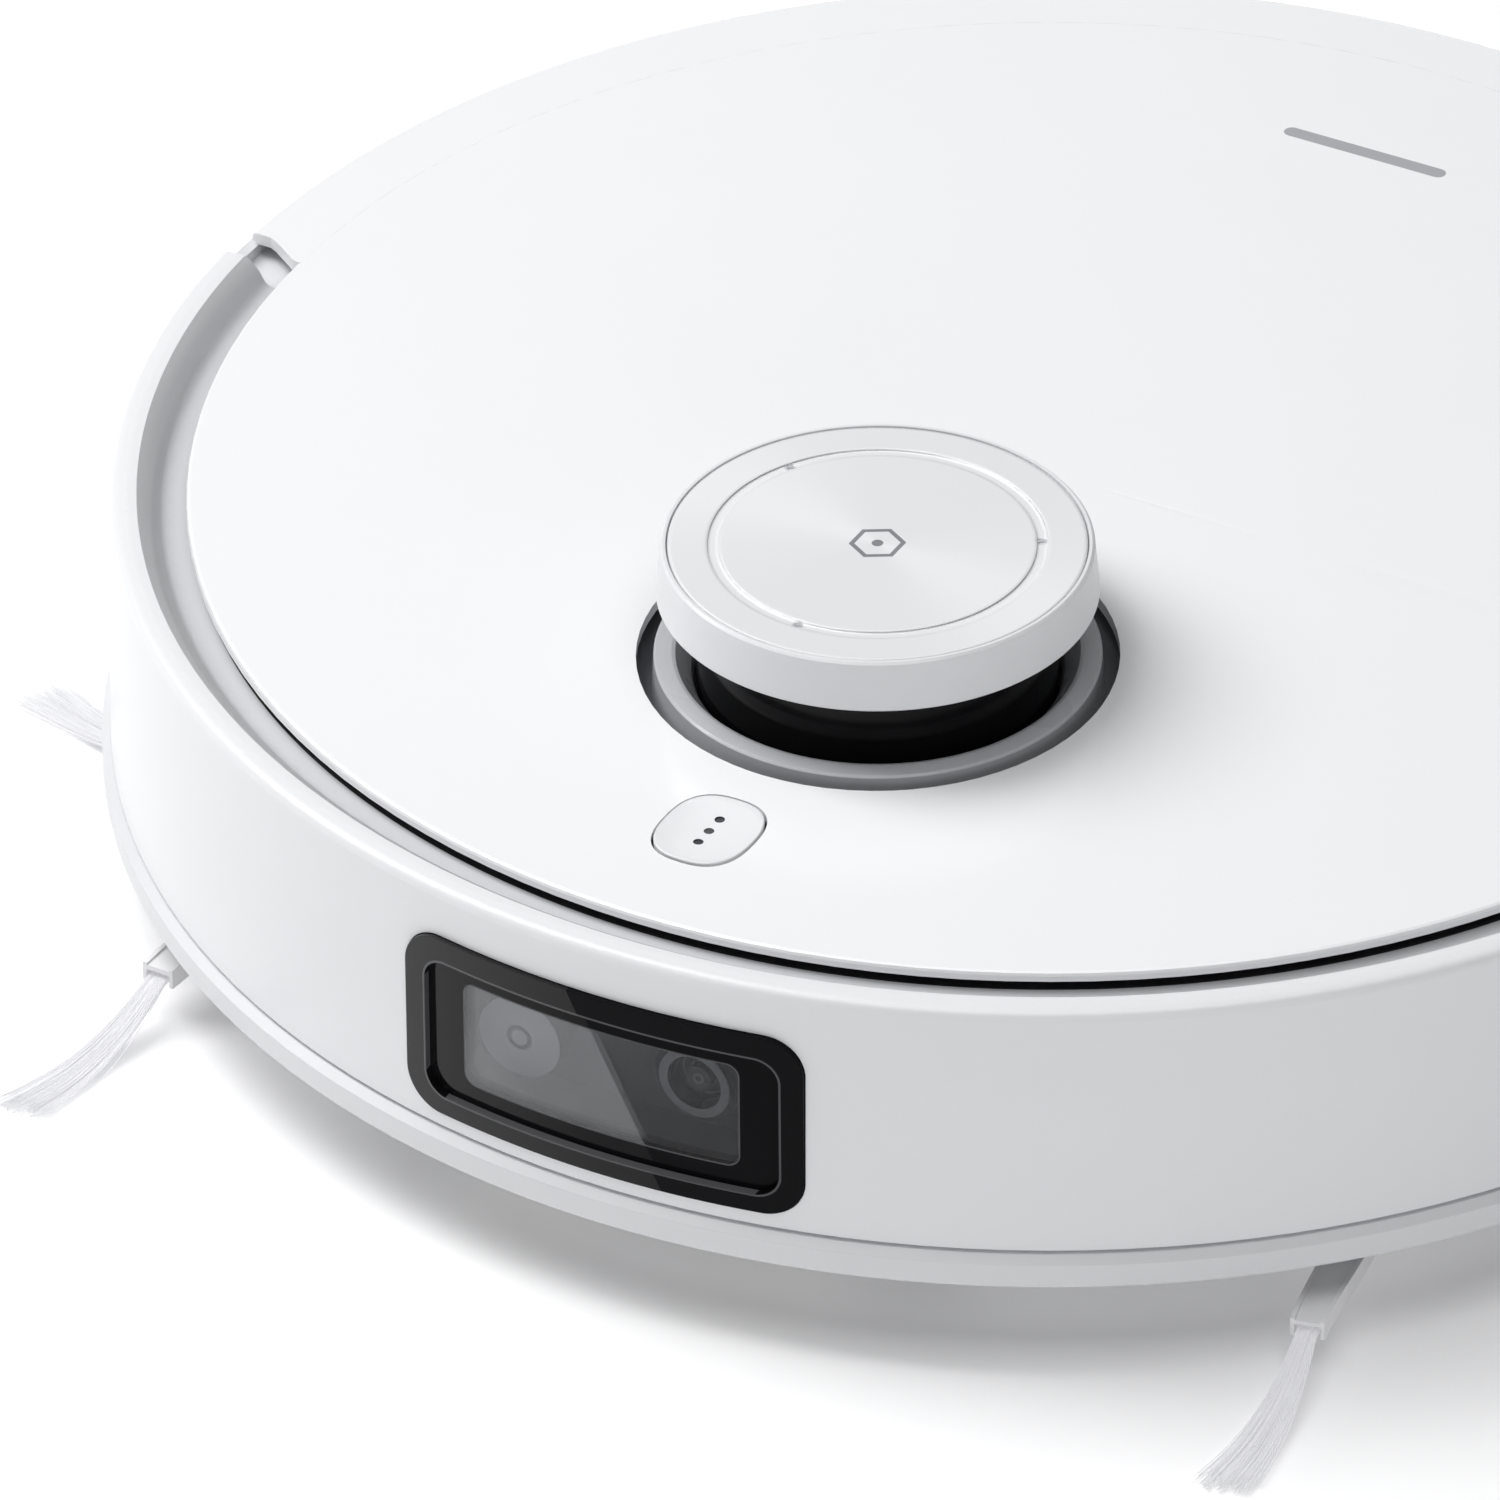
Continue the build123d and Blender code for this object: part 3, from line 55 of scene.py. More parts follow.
# ------------------------------------------------------------------ materials
class Graph:
    """Small helper that wires a node material."""

    def __init__(self, name):
        self.mat = bpy.data.materials.new(name)
        self.mat.use_nodes = True
        self.tree = self.mat.node_tree
        self.tree.nodes.clear()
        self.out = self.node("ShaderNodeOutputMaterial")

    def node(self, kind, **props):
        n = self.tree.nodes.new(kind)
        for key, value in props.items():
            setattr(n, key, value)
        return n

    def link(self, a, b):
        self.tree.links.new(a, b)

    def math(self, op, a, b=None, c=None):
        """A maths node on sockets or plain numbers."""
        n = self.node("ShaderNodeMath", operation=op)
        for i, v in enumerate((a, b, c)):
            if v is None:
                continue
            if isinstance(v, (int, float)):
                n.inputs[i].default_value = v
            else:
                self.link(v, n.inputs[i])
        return n.outputs[0]

    def mix(self, fac, a, b):
        """A colour between a and b; each input is a socket, a number or a colour."""
        n = self.node("ShaderNodeMix", data_type="RGBA")
        for sock, v in ((n.inputs[0], fac), (n.inputs[6], a), (n.inputs[7], b)):
            if hasattr(v, "is_output"):
                self.link(v, sock)
            elif isinstance(v, (int, float)):
                sock.default_value = v
            else:
                sock.default_value = (*v, 1.0)
        return n.outputs[2]

    def position(self):
        return self.node("ShaderNodeTexCoord").outputs["Object"]

    def axes(self, origin=(0.0, 0.0, 0.0)):
        """Object coordinates in millimetres, measured from an origin in millimetres."""
        sep = self.node("ShaderNodeSeparateXYZ")
        self.link(self.position(), sep.inputs[0])
        return [self.math("MULTIPLY_ADD", sep.outputs[i], 1000.0, -origin[i]) for i in range(3)]

    def length(self, a, b):
        return self.math("SQRT", self.math("MULTIPLY_ADD", a, a, self.math("MULTIPLY", b, b)))

    def rounded_edges(self, radius):
        """A normal that rounds off sharp edges in the shading."""
        n = self.node("ShaderNodeBevel", samples=4)
        n.inputs["Radius"].default_value = radius
        return n.outputs[0]

    def rounded_box(self, a, b, half_a, half_b, radius):
        """Signed distance to a rounded rectangle, less than 0 inside."""
        qa = self.math("SUBTRACT", self.math("ABSOLUTE", a), half_a - radius)
        qb = self.math("SUBTRACT", self.math("ABSOLUTE", b), half_b - radius)
        out = self.length(self.math("MAXIMUM", qa, 0.0), self.math("MAXIMUM", qb, 0.0))
        inside = self.math("MINIMUM", self.math("MAXIMUM", qa, qb), 0.0)
        return self.math("SUBTRACT", self.math("ADD", out, inside), radius)

    def band(self, value, middle, half):
        """1 where value lies within half of middle."""
        return self.math("LESS_THAN", self.math("ABSOLUTE", self.math("SUBTRACT", value, middle)), half)

    def noise(self, scale, detail=3.0, rough=0.5, vector=None):
        n = self.node("ShaderNodeTexNoise")
        n.inputs["Scale"].default_value = scale
        n.inputs["Detail"].default_value = detail
        n.inputs["Roughness"].default_value = rough
        self.link(vector or self.position(), n.inputs["Vector"])
        return n.outputs["Fac"]

    def ramp(self, fac, lo, hi, out_lo, out_hi):
        n = self.node("ShaderNodeMapRange")
        self.link(fac, n.inputs["Value"])
        for key, v in (("From Min", lo), ("From Max", hi), ("To Min", out_lo), ("To Max", out_hi)):
            n.inputs[key].default_value = v
        return n.outputs[0]

    def bump(self, height, strength, distance, normal=None):
        n = self.node("ShaderNodeBump")
        n.inputs["Strength"].default_value = strength
        n.inputs["Distance"].default_value = distance
        self.link(height, n.inputs["Height"])
        if normal is not None:
            self.link(normal, n.inputs["Normal"])
        return n.outputs[0]


EDGE_R = 0.25 * MM              # how far the shading rounds each edge
BLOTCH, SMEAR, SPECK = 26.0, 24.0, 900.0       # noise scales: colour drift, uneven gloss, dust
BUMP_DEPTH = 0.00002            # metres, the height of grain and turning marks
DUST = (0.42, 0.40, 0.37)


def surface(name, color, rough, grain=1400.0, grain_depth=0.25, metallic=0.0, coat=0.0,
            vary=0.03, dust=0.0, specular=0.5, uneven=0.16, edge=EDGE_R):
    """A moulded, painted or cast surface: drifting colour, uneven gloss, fine grain."""
    g = Graph(name)
    p = g.node("ShaderNodeBsdfPrincipled")
    drift = g.noise(BLOTCH, 4.0, 0.55)
    dark = tuple(c * (1.0 - vary) for c in color)
    light = tuple(min(1.0, c * (1.0 + vary)) for c in color)
    base = g.mix(g.ramp(drift, 0.3, 0.7, 0.0, 1.0), dark, light)
    if dust:
        speck = g.ramp(g.noise(SPECK, 6.0, 0.7), 0.62, 0.72, 0.0, dust)
        base = g.mix(speck, base, DUST)
    g.link(base, p.inputs["Base Color"])
    smear = g.noise(SMEAR, 2.0, 0.5)
    g.link(g.ramp(smear, 0.3, 0.75, rough * (1.0 - uneven), min(1.0, rough * (1.0 + uneven))),
           p.inputs["Roughness"])
    p.inputs["Metallic"].default_value = metallic
    p.inputs["Specular IOR Level"].default_value = specular
    p.inputs["Coat Weight"].default_value = coat
    p.inputs["Coat Roughness"].default_value = 0.06
    rounding = g.rounded_edges(edge) if edge else None
    g.link(g.bump(g.noise(grain, 2.0), grain_depth, BUMP_DEPTH, rounding), p.inputs["Normal"])
    g.link(p.outputs[0], g.out.inputs["Surface"])
    return g, p


def assign(mat, *names):
    """Give a material to CAD nodes."""
    for n in names:
        nodes[n].data.materials.clear()
        nodes[n].data.materials.append(mat)


def simple(name, *args, **kw):
    """A surface's material, with nothing added to it."""
    return surface(name, *args, **kw)[0].mat


WHITE = (0.83, 0.835, 0.85)
FINE = dict(grain=380.0, grain_depth=0.03, uneven=0.04)      # polished mouldings
lip_white = simple("lip_white", (0.74, 0.745, 0.76), 0.42, vary=0.012, grain_depth=0.08)
holder_white = simple("holder_white", (0.90, 0.90, 0.91), 0.45, vary=0.01, grain_depth=0.05)
cap_white = simple("cap_white", (0.80, 0.805, 0.82), 0.30, coat=0.15, vary=0.01, **FINE)
ring_grey = simple("ring_grey", (0.55, 0.56, 0.58), 0.28, coat=0.2, vary=0.01, **FINE)
window_black = simple("window_black", (0.004, 0.004, 0.005), 0.12, specular=0.16, vary=0.1, **FINE)
black_gloss = simple("black_gloss", (0.008, 0.008, 0.010), 0.12, coat=0.3, **FINE)
chassis_grey = simple("chassis_grey", (0.72, 0.725, 0.74), 0.40, vary=0.015, grain_depth=0.12)
deck_grey = simple("deck_grey", (0.13, 0.135, 0.145), 0.55, grain_depth=0.6)
dark_plastic = simple("dark_plastic", (0.035, 0.036, 0.04), 0.5, grain_depth=0.6, dust=0.15)
camera_grey = simple("camera_grey", (0.15, 0.152, 0.158), 0.6, grain_depth=0.05, specular=0.2)
rubber_black = simple("rubber_black", (0.025, 0.025, 0.026), 0.75, grain=1400.0, grain_depth=0.8, dust=0.3)
tyre_black = simple("tyre_black", (0.028, 0.028, 0.03), 0.7, grain=1200.0, grain_depth=0.9, dust=0.35)
fin_grey = simple("fin_grey", (0.10, 0.11, 0.125), 0.6, grain=1500.0, grain_depth=0.6, dust=0.2)
steel = simple("steel", (0.55, 0.55, 0.56), 0.32, metallic=1.0, vary=0.05)
contact_metal = simple("contact_metal", (0.78, 0.72, 0.60), 0.18, metallic=1.0, vary=0.05)
gear_white = simple("gear_white", (0.75, 0.73, 0.66), 0.42, vary=0.03)
board_green = simple("board_green", (0.02, 0.13, 0.07), 0.4, grain=700.0, grain_depth=0.8)
battery_dark = simple("battery_dark", (0.04, 0.055, 0.09), 0.35, vary=0.05)
smoked = simple("smoked_bin", (0.06, 0.063, 0.07), 0.16, coat=0.4, vary=0.04)
BRISTLE = (0.95, 0.95, 0.96)
BRISTLE_GLOW = 0.17             # painted light: the strands glow faintly, standing in for light scattered through them
bristle_graph, bristle_shader = surface("bristle_white", BRISTLE, 0.45, grain=5000.0, vary=0.03,
                                        specular=0.3, edge=0)
glow = bristle_graph.node("ShaderNodeBsdfTranslucent")
glow.inputs["Color"].default_value = (*BRISTLE, 1)
# painted light: a faint emission brightens the strands
bristle_shader.inputs["Emission Color"].default_value = (*BRISTLE, 1)
bristle_shader.inputs["Emission Strength"].default_value = BRISTLE_GLOW
nylon = bristle_graph.node("ShaderNodeMixShader")
nylon.inputs[0].default_value = 0.5
bristle_graph.link(bristle_shader.outputs[0], nylon.inputs[1])
bristle_graph.link(glow.outputs[0], nylon.inputs[2])
bristle_graph.link(nylon.outputs[0], bristle_graph.out.inputs["Surface"])
bristle_white = bristle_graph.mat
bristle_dark = simple("bristle_dark", (0.06, 0.065, 0.075), 0.5, grain=5000.0, vary=0.1)
fabric_cream = simple("fabric_cream", (0.75, 0.74, 0.68), 0.9, grain=3000.0, grain_depth=1.0)

assign(lip_white, "bumper_lip")
assign(holder_white, "side_brush_left", "side_brush_right")
assign(cap_white, "turret_cap")
assign(ring_grey, "turret_base_ring", "dustbin_handle")
assign(window_black, "lidar_window")
assign(black_gloss, "cliff_sensors")
assign(chassis_grey, "chassis_base")
assign(deck_grey, "mid_deck")
assign(dark_plastic, "bumper_switches", "lidar_rotor", "power_switch", "dustbin_lid", "fan_housing",
       "brush_housing", "brush_frame", "main_brush_core", "wheel_arm_left", "wheel_arm_right",
       "wheel_rim_left", "wheel_rim_right", "caster_fork")
assign(camera_grey, "camera_housing")
assign(rubber_black, "lidar_belt", "caster_wheel")
assign(tyre_black, "wheel_tyre_left", "wheel_tyre_right")
assign(steel, "lidar_motor", "fan_motor", "main_brush_motor", "side_brush_motors", "drive_motor_left",
       "drive_motor_right", "case_screws", "cover_magnets")
assign(contact_metal, "charging_contacts")
assign(gear_white, "lidar_pulley", "fan_impeller", "drive_pinion_left", "drive_pinion_right",
       "axle_gear_left", "axle_gear_right")
assign(board_green, "main_board")
assign(battery_dark, "battery_pack")
assign(smoked, "dustbin_box")


def paint(g, p, mask, color):
    """Lay a second colour over a surface's own where mask is 1."""
    base = p.inputs["Base Color"].links[0].from_socket
    g.link(g.mix(mask, base, color), p.inputs["Base Color"])


BAR_Y, BAR_HALF, BAR_R = 130.0, 17.5, 1.6      # printed bar on the cover, mm


def cover_material():
    """Gloss white moulding with a small printed bar near the back."""
    g, p = surface("cover_white", (0.93, 0.935, 0.945), 0.20, coat=0.35, vary=0.003, edge=0, **FINE)
    x, y, _ = g.axes((0.0, BAR_Y, 0.0))
    paint(g, p, g.math("LESS_THAN", g.rounded_box(x, y, BAR_HALF, BAR_R, BAR_R), 0.0), (0.42, 0.43, 0.45))
    return g.mat


UNDER_COVER_SHADE_R = 162.8                  # mm: painted shade: the flange is darkened inside this radius, well under the cover's edge
TROUGH_R, TROUGH_Z = 173.05, 72.0              # mm: inside the rim's crease the trough is painted a darker grey, partly its own tone and partly painted shade for the recess


def bumper_material():
    """Gloss white moulding; the trough is a darker grey, partly its own tone and partly painted shade, and
    painted shade darkens the flange's strip under the cover.
    """
    g, p = surface("bumper_white", WHITE, 0.30, coat=0.08, specular=0.35, vary=0.003, edge=0, **FINE)
    x, y, z = g.axes()
    radius = g.length(x, y)
    # a darker grey in the trough: partly its own tone, partly painted shade
    trough = g.math("MULTIPLY", g.math("LESS_THAN", radius, TROUGH_R), g.math("GREATER_THAN", z, TROUGH_Z))
    paint(g, p, trough, (0.60, 0.605, 0.62))
    # painted shade: the flange under the cover's edge is darkened where shade falls
    paint(g, p, g.math("LESS_THAN", radius, UNDER_COVER_SHADE_R), (0.02, 0.02, 0.022))
    return g.mat


DOT_STEP, DOT_R = 4.1, 0.97    # mm


def button_material():
    """White key with three dark light guides in a row."""
    g, p = surface("button_white", (0.82, 0.825, 0.84), 0.24, coat=0.3, vary=0.008, **FINE)
    lo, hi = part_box("button_key")
    x, y, _ = g.axes((0.0, (lo.y + hi.y) / 2 * 1000, 0.0))
    near = g.math("ABSOLUTE", y)
    near = g.math("MINIMUM", near, g.math("ABSOLUTE", g.math("SUBTRACT", near, DOT_STEP)))
    mask = g.math("LESS_THAN", g.length(x, near), DOT_R)
    paint(g, p, mask, (0.035, 0.036, 0.042))
    return g.mat


assign(cover_material(), "top_cover")
assign(bumper_material(), "bumper")
assign(button_material(), "button_key")


GROOVE_R = 1.1 * MM            # the ring groove in the cap plate reads as a soft dish
MARK_R, MARK_HALF, MARK_DOT = 4.2, 0.45, 1.1   # hexagon mark and its dot, mm
RINGS_PER_MM = 9.0


def plate_material():
    """Turned metal disc: fine rings, stretched highlights, a small generic mark."""
    g = Graph("cap_plate_metal")
    p = g.node("ShaderNodeBsdfPrincipled")
    lo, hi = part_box("turret_cap_plate")
    mid = (lo + hi) / 2 * 1000
    x, y, _ = g.axes((mid.x, mid.y, 0.0))
    radius = g.length(x, y)
    line = g.node("ShaderNodeCombineXYZ")
    g.link(g.math("MULTIPLY", radius, RINGS_PER_MM), line.inputs[0])
    rings = g.noise(1.0, 3.0, 0.7, line.outputs[0])
    tint = g.mix(g.ramp(rings, 0.3, 0.7, 0.0, 1.0), (0.92, 0.93, 0.94), (0.96, 0.97, 0.98))
    hexagon = g.math("MAXIMUM", g.math("ABSOLUTE", x),
                     g.math("MULTIPLY_ADD", g.math("ABSOLUTE", y), 0.866,
                            g.math("MULTIPLY", g.math("ABSOLUTE", x), 0.5)))
    outline = g.band(hexagon, MARK_R, MARK_HALF)
    dot = g.math("LESS_THAN", radius, MARK_DOT)
    g.link(g.mix(g.math("MAXIMUM", outline, dot), tint, (0.30, 0.30, 0.32)), p.inputs["Base Color"])
    p.inputs["Metallic"].default_value = 0.2
    g.link(g.ramp(rings, 0.25, 0.75, 0.26, 0.34), p.inputs["Roughness"])
    p.inputs["Anisotropic"].default_value = 0.8
    tangent = g.node("ShaderNodeCombineXYZ")
    g.link(g.math("MULTIPLY", y, -1.0), tangent.inputs[0])
    g.link(x, tangent.inputs[1])
    norm = g.node("ShaderNodeVectorMath", operation="NORMALIZE")
    g.link(tangent.outputs[0], norm.inputs[0])
    g.link(norm.outputs[0], p.inputs["Tangent"])
    g.link(g.bump(rings, 0.15, BUMP_DEPTH, g.rounded_edges(GROOVE_R)), p.inputs["Normal"])
    g.link(p.outputs[0], g.out.inputs["Surface"])
    return g.mat


assign(plate_material(), "turret_cap_plate")

# camera window, mm: clear panel, and the slanted edge of its anti-glare film
CLEAR_HALF, CLEAR_Z, CLEAR_R = (28.9, 11.3), 48.8, 2.6
GLASS_HALF, GLASS_Z, GLASS_R = (37.2, 15.1), 48.3, 5.0
FILM_X, FILM_Z, FILM_SLOPE = -1.2, 60.6, 0.495
# painted highlights, mm: a light line on the bezel just outside the glass, and one along the clear panel's
# edge
BEZEL_HIGHLIGHT_OUT, BEZEL_HIGHLIGHT_HALF, CLEAR_EDGE_HIGHLIGHT_HALF = 0.2, 0.22, 0.16
# camera modules, mm: the two centres; the lens's face ring, glass and inner rings; the disc's groove and side
# wall, both painted dark as shade
LENS_LEFT, LENS_RIGHT = (-20.7, 46.5), (16.5, 48.9)
FACE_R, FACE_HALF, FACE_Y = 6.5, 0.95, -170.1
GLASS_LENS_R = 5.6
LENS_RINGS = ((4.5, 0.20, 0.10), (2.7, 0.18, 0.07), (0.9, 0.30, 0.10))        # radius, half width, tone
DISC_R, DISC_HALF = 2.15, 0.5
WALL_SHADE_Y, WALL_SHADE_X = -169.4, 20.0


def film_side(g, x, z):
    """1 on the left of the film's slanted edge, 0 on the right."""
    limit = g.math("MULTIPLY_ADD", g.math("SUBTRACT", FILM_Z, z), FILM_SLOPE, FILM_X)
    return g.math("LESS_THAN", x, limit)


def bezel_material():
    """Satin black frame; its film reflects more on the left, and a painted highlight line, standing for a
    fine chamfer's shine, rings the glass.
    """
    g, p = surface("bezel_black", (0.005, 0.005, 0.006), 0.16, grain_depth=0.04, vary=0.1)
    x, y, z = g.axes((0.0, 0.0, GLASS_Z))
    left = film_side(g, x, g.math("ADD", z, GLASS_Z))
    fade = g.ramp(x, -42.0, 12.0, 0.34, 0.14)
    level = g.math("MULTIPLY_ADD", left, fade, 0.05)
    # painted highlight: a light line along the glass's edge, where a fine chamfer would shine
    edge = g.rounded_box(x, z, GLASS_HALF[0] + BEZEL_HIGHLIGHT_OUT, GLASS_HALF[1] + BEZEL_HIGHLIGHT_OUT, GLASS_R)
    paint(g, p, g.math("LESS_THAN", g.math("ABSOLUTE", edge), BEZEL_HIGHLIGHT_HALF), (0.09, 0.09, 0.095))
    g.link(level, p.inputs["Specular IOR Level"])
    return g.mat


def glass_material():
    """Thin tinted window: clear in the middle, dark printed border with a painted highlight line along the
    clear edge, haze under the film.
    """
    g = Graph("window_glass")
    x, y, z = g.axes((0.0, 0.0, CLEAR_Z))
    left = film_side(g, x, g.math("ADD", z, CLEAR_Z))
    clear = g.node("ShaderNodeBsdfTransparent")
    clear.inputs["Color"].default_value = (0.86, 0.87, 0.88, 1)
    haze = g.node("ShaderNodeBsdfDiffuse")
    haze.inputs["Color"].default_value = (0.80, 0.81, 0.83, 1)
    smear = g.ramp(g.noise(45.0, 4.0), 0.3, 0.7, 0.8, 1.2)
    tinted = g.node("ShaderNodeMixShader")
    amount = g.math("MULTIPLY_ADD", left, g.ramp(x, -30.0, 6.0, 0.17, 0.13), 0.025)
    g.link(g.math("MULTIPLY", amount, smear), tinted.inputs[0])
    g.link(clear.outputs[0], tinted.inputs[1])
    g.link(haze.outputs[0], tinted.inputs[2])
    shine = g.node("ShaderNodeBsdfGlossy")
    shine.inputs["Roughness"].default_value = 0.03
    fresnel = g.node("ShaderNodeFresnel")
    fresnel.inputs["IOR"].default_value = 1.2
    panel = g.node("ShaderNodeMixShader")
    g.link(fresnel.outputs[0], panel.inputs[0])
    g.link(tinted.outputs[0], panel.inputs[1])
    g.link(shine.outputs[0], panel.inputs[2])
    border = g.node("ShaderNodeBsdfPrincipled")
    border.inputs["Roughness"].default_value = 0.10
    g.link(g.math("MULTIPLY_ADD", left, g.ramp(x, -38.0, 0.0, 0.22, 0.06), 0.04),
           border.inputs["Specular IOR Level"])
    distance = g.rounded_box(x, z, *CLEAR_HALF, CLEAR_R)
    # painted highlight: a light line along the clear panel's edge
    rim = g.math("LESS_THAN", g.math("ABSOLUTE", distance), CLEAR_EDGE_HIGHLIGHT_HALF)
    g.link(g.mix(rim, (0.005, 0.005, 0.006), (0.10, 0.10, 0.105)), border.inputs["Base Color"])
    both = g.node("ShaderNodeMixShader")
    g.link(g.math("GREATER_THAN", distance, -CLEAR_EDGE_HIGHLIGHT_HALF), both.inputs[0])
    g.link(panel.outputs[0], both.inputs[1])
    g.link(border.outputs[0], both.inputs[2])
    g.link(both.outputs[0], g.out.inputs["Surface"])
    return g.mat


def module_material():
    """Left: pale sensor disc with painted shade in its groove and on its side wall.  Right: dark lens barrel
    with a grey face ring and glassy lens.
    """
    g, p = surface("camera_modules", (0.46, 0.465, 0.475), 0.45, grain_depth=0.0, specular=0.25,
                   vary=0.01, edge=0)
    x, y, z = g.axes((LENS_RIGHT[0], 0.0, LENS_RIGHT[1]))
    radius = g.length(x, z)
    right = g.math("GREATER_THAN", x, -LENS_RIGHT[0])
    paint(g, p, right, (0.018, 0.018, 0.02))
    face = g.math("MULTIPLY", g.band(radius, FACE_R, FACE_HALF), g.math("LESS_THAN", y, FACE_Y))
    paint(g, p, face, (0.17, 0.172, 0.178))
    lens = g.math("LESS_THAN", radius, GLASS_LENS_R)
    for ring_r, half, tone in LENS_RINGS:
        paint(g, p, g.band(radius, ring_r, half), (tone, tone, tone * 1.05))
    rough = p.inputs["Roughness"].links[0].from_socket
    g.link(g.math("MULTIPLY", rough, g.math("SUBTRACT", 1.0, g.math("MULTIPLY", lens, 0.4))),
           p.inputs["Roughness"])
    x, y, z = g.axes((LENS_LEFT[0], 0.0, LENS_LEFT[1]))
    # painted shade: a dark ring in the disc's groove
    paint(g, p, g.band(g.length(x, z), DISC_R, DISC_HALF), (0.13, 0.132, 0.138))
    # painted shade: the disc's side wall is darkened all round
    wall = g.math("MULTIPLY", g.math("GREATER_THAN", y, WALL_SHADE_Y), g.math("LESS_THAN", x, WALL_SHADE_X))
    paint(g, p, wall, (0.07, 0.07, 0.074))
    return g.mat


assign(bezel_material(), "camera_bezel")
assign(glass_material(), "camera_glass")
assign(module_material(), "camera_modules")


# ------------------------------------------------------------------ mesh helpers
def mesh_object(name, bm, mat, smooth=True):
    """A scene object made from a finished bmesh."""
    mesh = bpy.data.meshes.new(name)
    bm.normal_update()
    bm.to_mesh(mesh)
    bm.free()
    for poly in mesh.polygons:
        poly.use_smooth = smooth
    obj = bpy.data.objects.new(name, mesh)
    bpy.context.scene.collection.objects.link(obj)
    mesh.materials.append(mat)
    return obj


def tube(bm, points, radius, sides=5, tip=1.0):
    """A closed tube along points; tip scales the radius at the far end."""
    rings = []
    count = len(points)
    for i, p in enumerate(points):
        a = points[max(i - 1, 0)]
        b = points[min(i + 1, count - 1)]
        along = (b - a).normalized()
        side = along.cross(Vector((0, 0, 1)))
        if side.length < 1e-5:
            side = along.cross(Vector((1, 0, 0)))
        side.normalize()
        up = side.cross(along)
        r = radius * (1.0 + (tip - 1.0) * i / (count - 1))
        ring = []
        for k in range(sides):
            t = 2 * math.pi * k / sides
            ring.append(bm.verts.new(p + side * (r * math.cos(t)) + up * (r * math.sin(t))))
        rings.append(ring)
    for a, b in zip(rings, rings[1:]):
        for k in range(sides):
            bm.faces.new((a[k], a[(k + 1) % sides], b[(k + 1) % sides], b[k]))
    bm.faces.new(list(reversed(rings[0])))
    bm.faces.new(rings[-1])


# ------------------------------------------------------------------ side brush tufts
# mm from the hub: root, holder's mouth, where the strands reach the floor, tip
TUFT_ROOT, TUFT_MOUTH, TUFT_FLAT, TUFT_TIP = 37.0, 44.5, 76.0, 87.0
TUFT_STRANDS, TUFT_STEPS, STRAND_R, STRAND_TIP = 150, 12, 0.13, 0.55
FLOOR_Z, MOUTH_LIFT = 1.0, 7.4                 # strand height on the floor, and the rise to the mouth
MOUTH_HALF, FAN_HALF, STRAY = 2.0, 3.6, 3.0    # half widths at the mouth and added at the tip
SIDE_HUB = {"left": (-116.0, -93.0), "right": (116.0, -93.0)}
# each holder's direction and how far its strands trail, degrees
HOLDERS = {"left": ((-92.0, -4.0), (151.0, 3.0), (29.5, -4.0)),
           "right": ((-76.8, -4.2), (43.2, -4.2), (163.2, -4.2))}


def tuft(bm, hub, deg, lean):
    """Loose strands that leave a holder flat, droop to the floor, fan out and trail round."""
    for _ in range(TUFT_STRANDS):
        u = random.uniform(-1, 1)
        h = random.uniform(-1, 1)
        stray = random.gauss(0, 0.35)
        reach = TUFT_TIP - random.uniform(0.0, 4.5) - 1.0 * u * u
        path = []
        for i in range(TUFT_STEPS):
            r = TUFT_ROOT + (reach - TUFT_ROOT) * i / (TUFT_STEPS - 1)
            out = max(r - TUFT_MOUTH, 0.0)
            fan = out / (TUFT_TIP - TUFT_MOUTH)
            turn = math.radians(deg + lean * fan ** 1.4)
            droop = min(out / (TUFT_FLAT - TUFT_MOUTH), 1.0)
            z = FLOOR_Z + 0.45 * h * (1 - 0.4 * droop) + MOUTH_LIFT * (1 - droop) ** 2
            w = u * (MOUTH_HALF + FAN_HALF * fan ** 1.2) + stray * STRAY * fan
            path.append(Vector((hub[0] + r * math.cos(turn) - w * math.sin(turn),
                                hub[1] + r * math.sin(turn) + w * math.cos(turn), z)) * MM)
        tube(bm, path, STRAND_R * MM, 4, STRAND_TIP)


for label, hub in SIDE_HUB.items():
    bm = bmesh.new()
    for deg, lean in HOLDERS[label]:
        tuft(bm, hub, deg, lean)
    tufts = mesh_object("side_tufts_" + label, bm, bristle_white)
    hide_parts("side_bristles_" + label)
    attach(tufts, "side_" + label)


# ------------------------------------------------------------------ roller brush
lo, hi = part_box("main_brush_fins")
ROLLER_MID = (lo + hi) / 2
ROLLER_R = (hi.z - lo.z) / 2
ROLLER_HALF = (hi.x - lo.x) / 2
CORE_R = 9.0 * MM
CHEVRON = math.radians(38.0)       # how far each blade turns from the ends to the middle
BLADES, BLADE_STEPS = 3, 40
# a blade's outline, from foot to tip and back: radius in metres, offset in mm
BLADE = [(CORE_R - 0.4 * MM, -1.5), (13.0 * MM, -0.9), (17.0 * MM, -0.55), (ROLLER_R - 0.3 * MM, -0.2),
         (ROLLER_R, 0.5), (ROLLER_R - 0.4 * MM, 1.0), (17.0 * MM, 0.7), (13.0 * MM, 0.95),
         (CORE_R - 0.4 * MM, 1.5)]
ROW_HOLES, ROW_STRANDS, ROW_REACH = 34, 7, 0.97


def roller_point(along, radius, angle):
    """Point on the roller: along runs -1 to 1, the angle leads at the ends."""
    a = angle + CHEVRON * abs(along)
    return Vector((ROLLER_MID.x + along * ROLLER_HALF, ROLLER_MID.y + radius * math.cos(a),
                   ROLLER_MID.z + radius * math.sin(a)))


